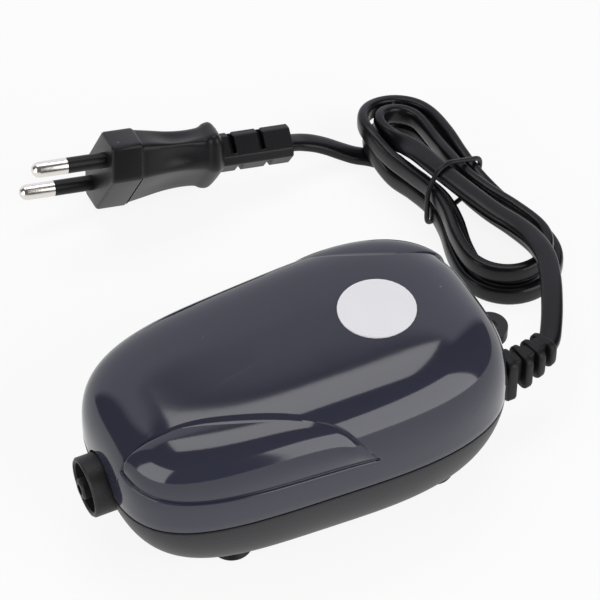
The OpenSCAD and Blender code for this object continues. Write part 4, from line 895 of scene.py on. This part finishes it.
# %% The winding
BOBBIN_X, BOBBIN_L, BOBBIN_Y, BOBBIN_Z, ARM_Z = 11.35, 18.8, 8.2, 4.7, 24.5
WIRE_R, LAYERS, TURNS, TURN_STEP, TURN_FROM, TURN_SHIFT = 0.27, 4, 29, 0.566, 1.35, 0.28
LAYER_Y, LAYER_Z, CORNER, CORNER_MORE = 0.55, 0.86, 0.6, 0.4
turn_tree = build_turns()
wound = bmesh.new()
for k in range(LAYERS):
    half_y, half_z = BOBBIN_Y + WIRE_R + LAYER_Y * k, BOBBIN_Z + WIRE_R + LAYER_Z * k
    start_x = BOBBIN_X + TURN_FROM + TURN_SHIFT * (k % 2)
    wound.from_mesh(grown(
        "layer", bpy.data.meshes.new("layer"), turn_tree, width=2 * half_y * MM, height=2 * half_z * MM,
        corner=(CORNER + CORNER_MORE * k) * MM, wire=WIRE_R * MM, turns=TURNS - k % 2,
        start=(start_x * MM, 0, ARM_Z * MM), step=(TURN_STEP * MM, 0, 0), material=FINISH["copper"]))
winding_mesh = bpy.data.meshes.new("winding")
wound.to_mesh(winding_mesh)
wound.free()
dress(piece_from("winding", winding_mesh, "copper", 60), "coil_winding")

# %% [markdown]
# The core is a stack of thin E-shaped plates, held by two rivets. The stack could be one block with
# lines drawn on it. Real plates with a small gap between them catch the light as such a core does.

# %% Core plates and the rivets through them
POLE_X, LEG_L, YOKE_T, CORE_HALF, STACK_T, MID_LEG, WINDOW_H = 10.35, 20.0, 6.0, 13.5, 14.0, 7.0, 5.0
PLATES, PLATE_GAP, RIVET_R, RIVET_HEAD, RIVET_Z = 28, 0.02, 1.7, 0.45, 10
root, back, leg = POLE_X + LEG_L, POLE_X + LEG_L + YOKE_T, MID_LEG / 2
e_plate = [(POLE_X, -CORE_HALF), (back, -CORE_HALF), (back, CORE_HALF), (POLE_X, CORE_HALF),
           (POLE_X, leg + WINDOW_H), (root, leg + WINDOW_H), (root, leg), (POLE_X, leg), (POLE_X, -leg),
           (root, -leg), (root, -leg - WINDOW_H), (POLE_X, -leg - WINDOW_H)]
plate_t = STACK_T / PLATES
plate = rings_skin([[(x, -STACK_T / 2 + y, ARM_Z + z) for x, z in filleted(e_plate, (0.25,), 3)]
                    for y in (PLATE_GAP, plate_t - PLATE_GAP)])
plates = set_out("core_plates", "lamination", 30, mesh_of("plate", plate), PLATES, (0, plate_t, 0))
dress(plates, "core_stack")
rivet_end = STACK_T / 2 + RIVET_HEAD
rivet = lathe([(0, -rivet_end), (RIVET_R - 0.5, -rivet_end), (RIVET_R, -STACK_T / 2), (RIVET_R, STACK_T / 2),
               (RIVET_R - 0.5, rivet_end), (0, rivet_end)],
              20, along_y(root + YOKE_T / 2, 0, ARM_Z - RIVET_Z))
rivets = set_out("core_rivets", "steel", 40, mesh_of("rivet", rivet), 2, (0, 0, 2 * RIVET_Z))
dress(rivets, "core_stack")

# %% [markdown]
# The diaphragm is a rubber cup with a rolled side, turned as one mesh. Its rim is clamped and its middle
# follows the arm. The flaps are rubber tongues on a round bead.

# %% Diaphragm
PUMP_X, RING_R, BLOCK_TOP, CUP_TOP, BLEND_FROM, BLEND_TO = -16.65, 10.6, 18.0, 22.0, 19.3, 21.0
cup_top = [(RING_R, 19.2), (8.2, 19.2), (7.55, 19.35), (7.15, 19.85), (6.7, 20.8), (6.1, 21.55), (5.2, 21.9),
           (4.4, CUP_TOP), (1.5, CUP_TOP)]
cup_low = [(1.5, 20.8), (4.0, 20.8), (4.9, 20.65), (5.5, 20.25), (5.95, 19.5), (6.3, 18.6), (6.75, 18.1),
           (7.2, BLOCK_TOP), (RING_R, BLOCK_TOP)]
cup = np.concatenate([curve_through(cup_top, 3), curve_through(cup_low, 3)])
diaphragm = piece_of("diaphragm_cup", "inner_rubber", 40, lathe(cup, 64, along_z(PUMP_X, 0, 0), closed=True))
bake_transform(diaphragm)
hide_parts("diaphragm")
print("diaphragm", len(diaphragm.data.polygons), "faces")

# %% Flaps: the edge's rows are a share of the outline and a half thickness
FLAP_L, FLAP_W, BEAD_R, BEAD_HALF, BEAD_EDGE = 5.6, 5.4, 0.6, 4.4, 0.18
FLAP_EDGE = [(0.95, 0.4), (0.985, 0.36), (1, 0.25)]


def flap_shapes(x, z, way):
    bead = lathe([(0, -BEAD_HALF), (BEAD_R - BEAD_EDGE, -BEAD_HALF), (BEAD_R, BEAD_EDGE - BEAD_HALF),
                  (BEAD_R, BEAD_HALF - BEAD_EDGE), (BEAD_R - BEAD_EDGE, BEAD_HALF), (0, BEAD_HALF)],
                 24, along_y(x, 0, z))
    w = FLAP_W / 2
    tongue = filleted([(0, -w), (FLAP_L, -w), (FLAP_L, w), (0, w)], (0.3, 2.2, 2.2, 0.3), 7)
    middle = tongue.mean(0)
    rings = [[(x + way * p, q, z + h) for p, q in middle + (tongue - middle) * k]
             for k, h in [(k, -h) for k, h in FLAP_EDGE] + FLAP_EDGE[::-1]]
    return bead, rings_skin(rings)


for node, body, x, z, way in (("inlet_flap", "inlet_valve", PUMP_X + 1, 14.1521, 1),
                              ("outlet_flap", "outlet_valve", PUMP_X - 2, 10.6521, -1)):
    dress(piece_of(node + "_form", "inner_rubber", 40, *flap_shapes(x, z, way)), node, body=body)

# %% [markdown]
# A clear hose lifts the air from the valve chamber to the outlet, a felt disc covers the intake
# holes, and two insulated leads go from the strain relief to the bobbin.

# %% Hose: level, a bend up, a bend back to level
TUBE_FACE, TUBE_END, TUBE_RUN, NIPPLE_Z, OUTLET_Z = -27.65, -43.65, 2.6094, 8.70104, 20.3
TUBE_TURN, TUBE_BEND, HOSE_D, HOSE_BORE, HOSE_SIDES, FORWARD = 5.0, 75, 7.1, 5.1, 28, (-1, 0, 0)
hose = [(TUBE_FACE, NIPPLE_Z)]
for x, z, start, end in ((TUBE_FACE - TUBE_RUN, NIPPLE_Z + TUBE_TURN, -90, -90 - TUBE_BEND),
                         (TUBE_END + TUBE_RUN, OUTLET_Z - TUBE_TURN, 90 - TUBE_BEND, 90)):
    hose += [(x + TUBE_TURN * cos(a), z + TUBE_TURN * sin(a))
             for a in np.radians(np.linspace(start, end, 14))]
hose = np.array([(x, 0, z, 0) for x, z in hose + [(TUBE_END, OUTLET_Z)]])
outer, bore = (tube_rings(hose, flat_section(d, d, HOSE_SIDES), FORWARD, FORWARD)
               for d in (HOSE_D, HOSE_BORE))
dress(piece_of("hose", "tube_clear", 45, rings_skin(outer + bore[::-1], closed=True)), "air_tube")

# %% Felt: its top and its side are uneven
FELT_X, FELT_Z, FELT_R, FELT_T, FELT_SIDES, FELT_LOW, FELT_IN = 2.35, 4.5, 7.5, 2.4, 64, -0.14, -0.12
felt_rows = [(0.2, 0)] + [(k, 0) for k in np.linspace(1.5, 7.0, 5)]
felt_rows += [(7.35, 0.12), (FELT_R, 0.6), (FELT_R, 1.7), (7.35, 2.2)]
felt_rows += [(k, FELT_T) for k in np.linspace(7.0, 0.4, 16)]
rng = np.random.default_rng(7)
felt_rings = []
for r, h in felt_rows:
    lift = rng.uniform(FELT_LOW, 0, FELT_SIDES) if h > 2 else np.zeros(FELT_SIDES)
    pull = rng.uniform(FELT_IN, 0, FELT_SIDES) if 0.1 < h < 2.3 else np.zeros(FELT_SIDES)
    felt_rings.append([(FELT_X + (r + p) * cos(a), (r + p) * sin(a), FELT_Z + h + z)
                       for a, p, z in zip(circle_turns(FELT_SIDES), pull, lift)])
dress(piece_of("felt_disc", "felt", 60, rings_skin(felt_rings)), "filter_felt")

# %% Leads
WIRE_Y, LEAD_D, LEAD_SIDES, LEAD_STEP = -8.3, 1.4, 12, 0.5
lead_shapes = []
for half in (-1, 1):
    points = np.array([(NECK_FROM, RELIEF_Y + half, RELIEF_Z), (NECK_FROM - 1, RELIEF_Y + half, RELIEF_Z),
                       (NECK_FROM - 2.3, WIRE_Y, (RELIEF_Z + ARM_Z) / 2 + half),
                       (NECK_FROM - 5, WIRE_Y, ARM_Z + half),
                       (BOBBIN_X + BOBBIN_L + 3, WIRE_Y, ARM_Z + half),
                       (BOBBIN_X + BOBBIN_L, WIRE_Y, ARM_Z + half)])
    rows = smooth_line(points, np.zeros(len(points)), LEAD_STEP)[0]
    section = flat_section(LEAD_D, LEAD_D, LEAD_SIDES)
    lead_shapes.append(rings_skin(tube_rings(rows, section, FORWARD, FORWARD)))
dress(piece_of("leads", "lead_red", 50, *lead_shapes), "coil_leads")

# %% [markdown]
# The other inner pieces are moulded or pressed, and their solids are right. Those made of plain plates
# get broken edges, so that they catch the light. The rest only get their finish.

# %% Other inner pieces
for node, slot, body in (
        ("coil_bobbin", "bobbin_nylon", "case"), ("core_cradle", "inner_plastic", "case"),
        ("pivot_bracket", "inner_plastic", "case"), ("drive_magnet", "magnet", "arm"),
        ("valve_cover", "inner_plastic", "case")):
    dress(smooth_copy(node + "_form", node, slot, 35, 0.25), node, body=body)
for node, slot in (("swing_arm", "inner_plastic"), ("diaphragm_ring", "inner_plastic"),
                   ("valve_chamber", "inner_plastic"), ("pivot_pin", "steel"), ("diaphragm_screw", "steel")):
    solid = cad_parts[node].data
    solid.materials.clear()
    solid.materials.append(FINISH[slot])

# %% [markdown]
# A cord is more than its mesh: it has a length, an end that leaves the case and pieces at its far end.

# %% [markdown]
# The floor is a plain pale sheet. To the camera and in reflections it is nearly white, and it keeps
# a faint shadow. The room is a white sweep behind, dark overhead, with three soft boxes: one
# overhead, one at the front right that reaches the floor, and one at the left.

# %% Floor
FLOOR_SIZE, FLOOR_DROP, FLOOR_GREY, FLOOR_GLOW = 12, 0.0002, 0.86, 0.88
WHITE = (1, 1, 1, 1)
bpy.ops.mesh.primitive_plane_add(size=FLOOR_SIZE, location=(0, 0, -FLOOR_DROP))
floor = bpy.context.object
floor.name = "floor"
ground = bpy.data.materials.new("floor")
ground.use_nodes = True
tree = ground.node_tree
tree.nodes.clear()
out = add(tree, "ShaderNodeOutputMaterial")
matte = add(tree, "ShaderNodeBsdfDiffuse", Color=(FLOOR_GREY, FLOOR_GREY, FLOOR_GREY, 1))
glow = add(tree, "ShaderNodeEmission", Color=WHITE, Strength=1.0)
path = add(tree, "ShaderNodeLightPath")
seen = add(tree, "ShaderNodeMath", operation="ADD", use_clamp=True)
seen_too = add(tree, "ShaderNodeMath", operation="ADD", use_clamp=True)
share = add(tree, "ShaderNodeMath", {1: FLOOR_GLOW}, operation="MULTIPLY")
mix = add(tree, "ShaderNodeMixShader")
link(tree, (path, "Is Camera Ray", seen, 0), (path, "Is Glossy Ray", seen, 1), (seen, 0, seen_too, 0),
     (path, "Is Transmission Ray", seen_too, 1), (seen_too, 0, share, 0), (share, 0, mix, "Fac"),
     (matte, 0, mix, 1), (glow, 0, mix, 2), (mix, 0, out, "Surface"))
floor.data.materials.append(ground)

# %% Room: the sweep's edges are rows of a direction and the two levels between which it fades
SWEEP_EDGES = (((-0.469, 0.883, 0), -0.04, 0.05), ((0.788, 0.616, 0), -0.04, 0.05),
               ((0, 0, -1), -0.80, -0.74))
SWEEP_COLOUR, SWEEP_DARK, FILL = (0.96, 0.96, 1.08, 1), 0.08, 0.25
world = bpy.data.worlds.new("room")
scene.world = world
world.use_nodes = True
tree = world.node_tree
tree.nodes.clear()
out = add(tree, "ShaderNodeOutputWorld")
place = add(tree, "ShaderNodeTexCoord")
sweep_level = None
for normal, low, high in SWEEP_EDGES:
    lean = add(tree, "ShaderNodeVectorMath", {1: normal}, operation="DOT_PRODUCT")
    edge = add(tree, "ShaderNodeMapRange", {"From Min": low, "From Max": high}, clamp=True)
    link(tree, (place, "Generated", lean, 0), (lean, "Value", edge, "Value"))
    if sweep_level is None:
        sweep_level = (edge, "Result")
    else:
        both = add(tree, "ShaderNodeMath", operation="MULTIPLY")
        link(tree, (*sweep_level, both, 0), (edge, "Result", both, 1))
        sweep_level = (both, 0)
ramp = add(tree, "ShaderNodeMapRange", {"To Min": SWEEP_DARK}, clamp=True)
path = add(tree, "ShaderNodeLightPath")
sweep = add(tree, "ShaderNodeBackground", Color=SWEEP_COLOUR)
fill = add(tree, "ShaderNodeBackground", Color=WHITE, Strength=FILL)
white = add(tree, "ShaderNodeBackground", Color=WHITE, Strength=1.0)
glossy, final = add(tree, "ShaderNodeMixShader"), add(tree, "ShaderNodeMixShader")
link(tree, (*sweep_level, ramp, "Value"), (ramp, "Result", sweep, "Strength"),
     (path, "Is Glossy Ray", glossy, "Fac"), (fill, 0, glossy, 1), (sweep, 0, glossy, 2),
     (path, "Is Camera Ray", final, "Fac"), (glossy, 0, final, 1), (white, 0, final, 2),
     (final, 0, out, "Surface"))


# %% Soft boxes: azimuth is measured from the front to the right, as the sides of the case are
def soft_box(name, azimuth, place, tilt, wide, high, radiance):
    """A lamp at a place (out, up) in an azimuth. Tilt is how far it leans over to face down."""
    lamp = bpy.data.lights.new(name, "AREA")
    lamp.shape, lamp.size, lamp.size_y = "RECTANGLE", wide, high
    lamp.energy = radiance * pi * wide * high
    made = new_object(name, lamp)
    a, e = radians(azimuth), radians(tilt)
    made.location = (place[0] * sin(a), -place[0] * cos(a), place[1])
    out = Vector((sin(a) * cos(e), -cos(a) * cos(e), sin(e)))
    made.rotation_mode = "QUATERNION"
    made.rotation_quaternion = out.to_track_quat("Z", "Y")


soft_box("box_above", 160, (0.50, 1.31), 69, 0.95, 0.6, 3.3)
soft_box("box_right", 31.5, (1.4, 0.86), 0, 1.34, 1.7, 3.3)
soft_box("box_left", -77, (1.4, 0.64), 0, 1.02, 1.26, 3.2)
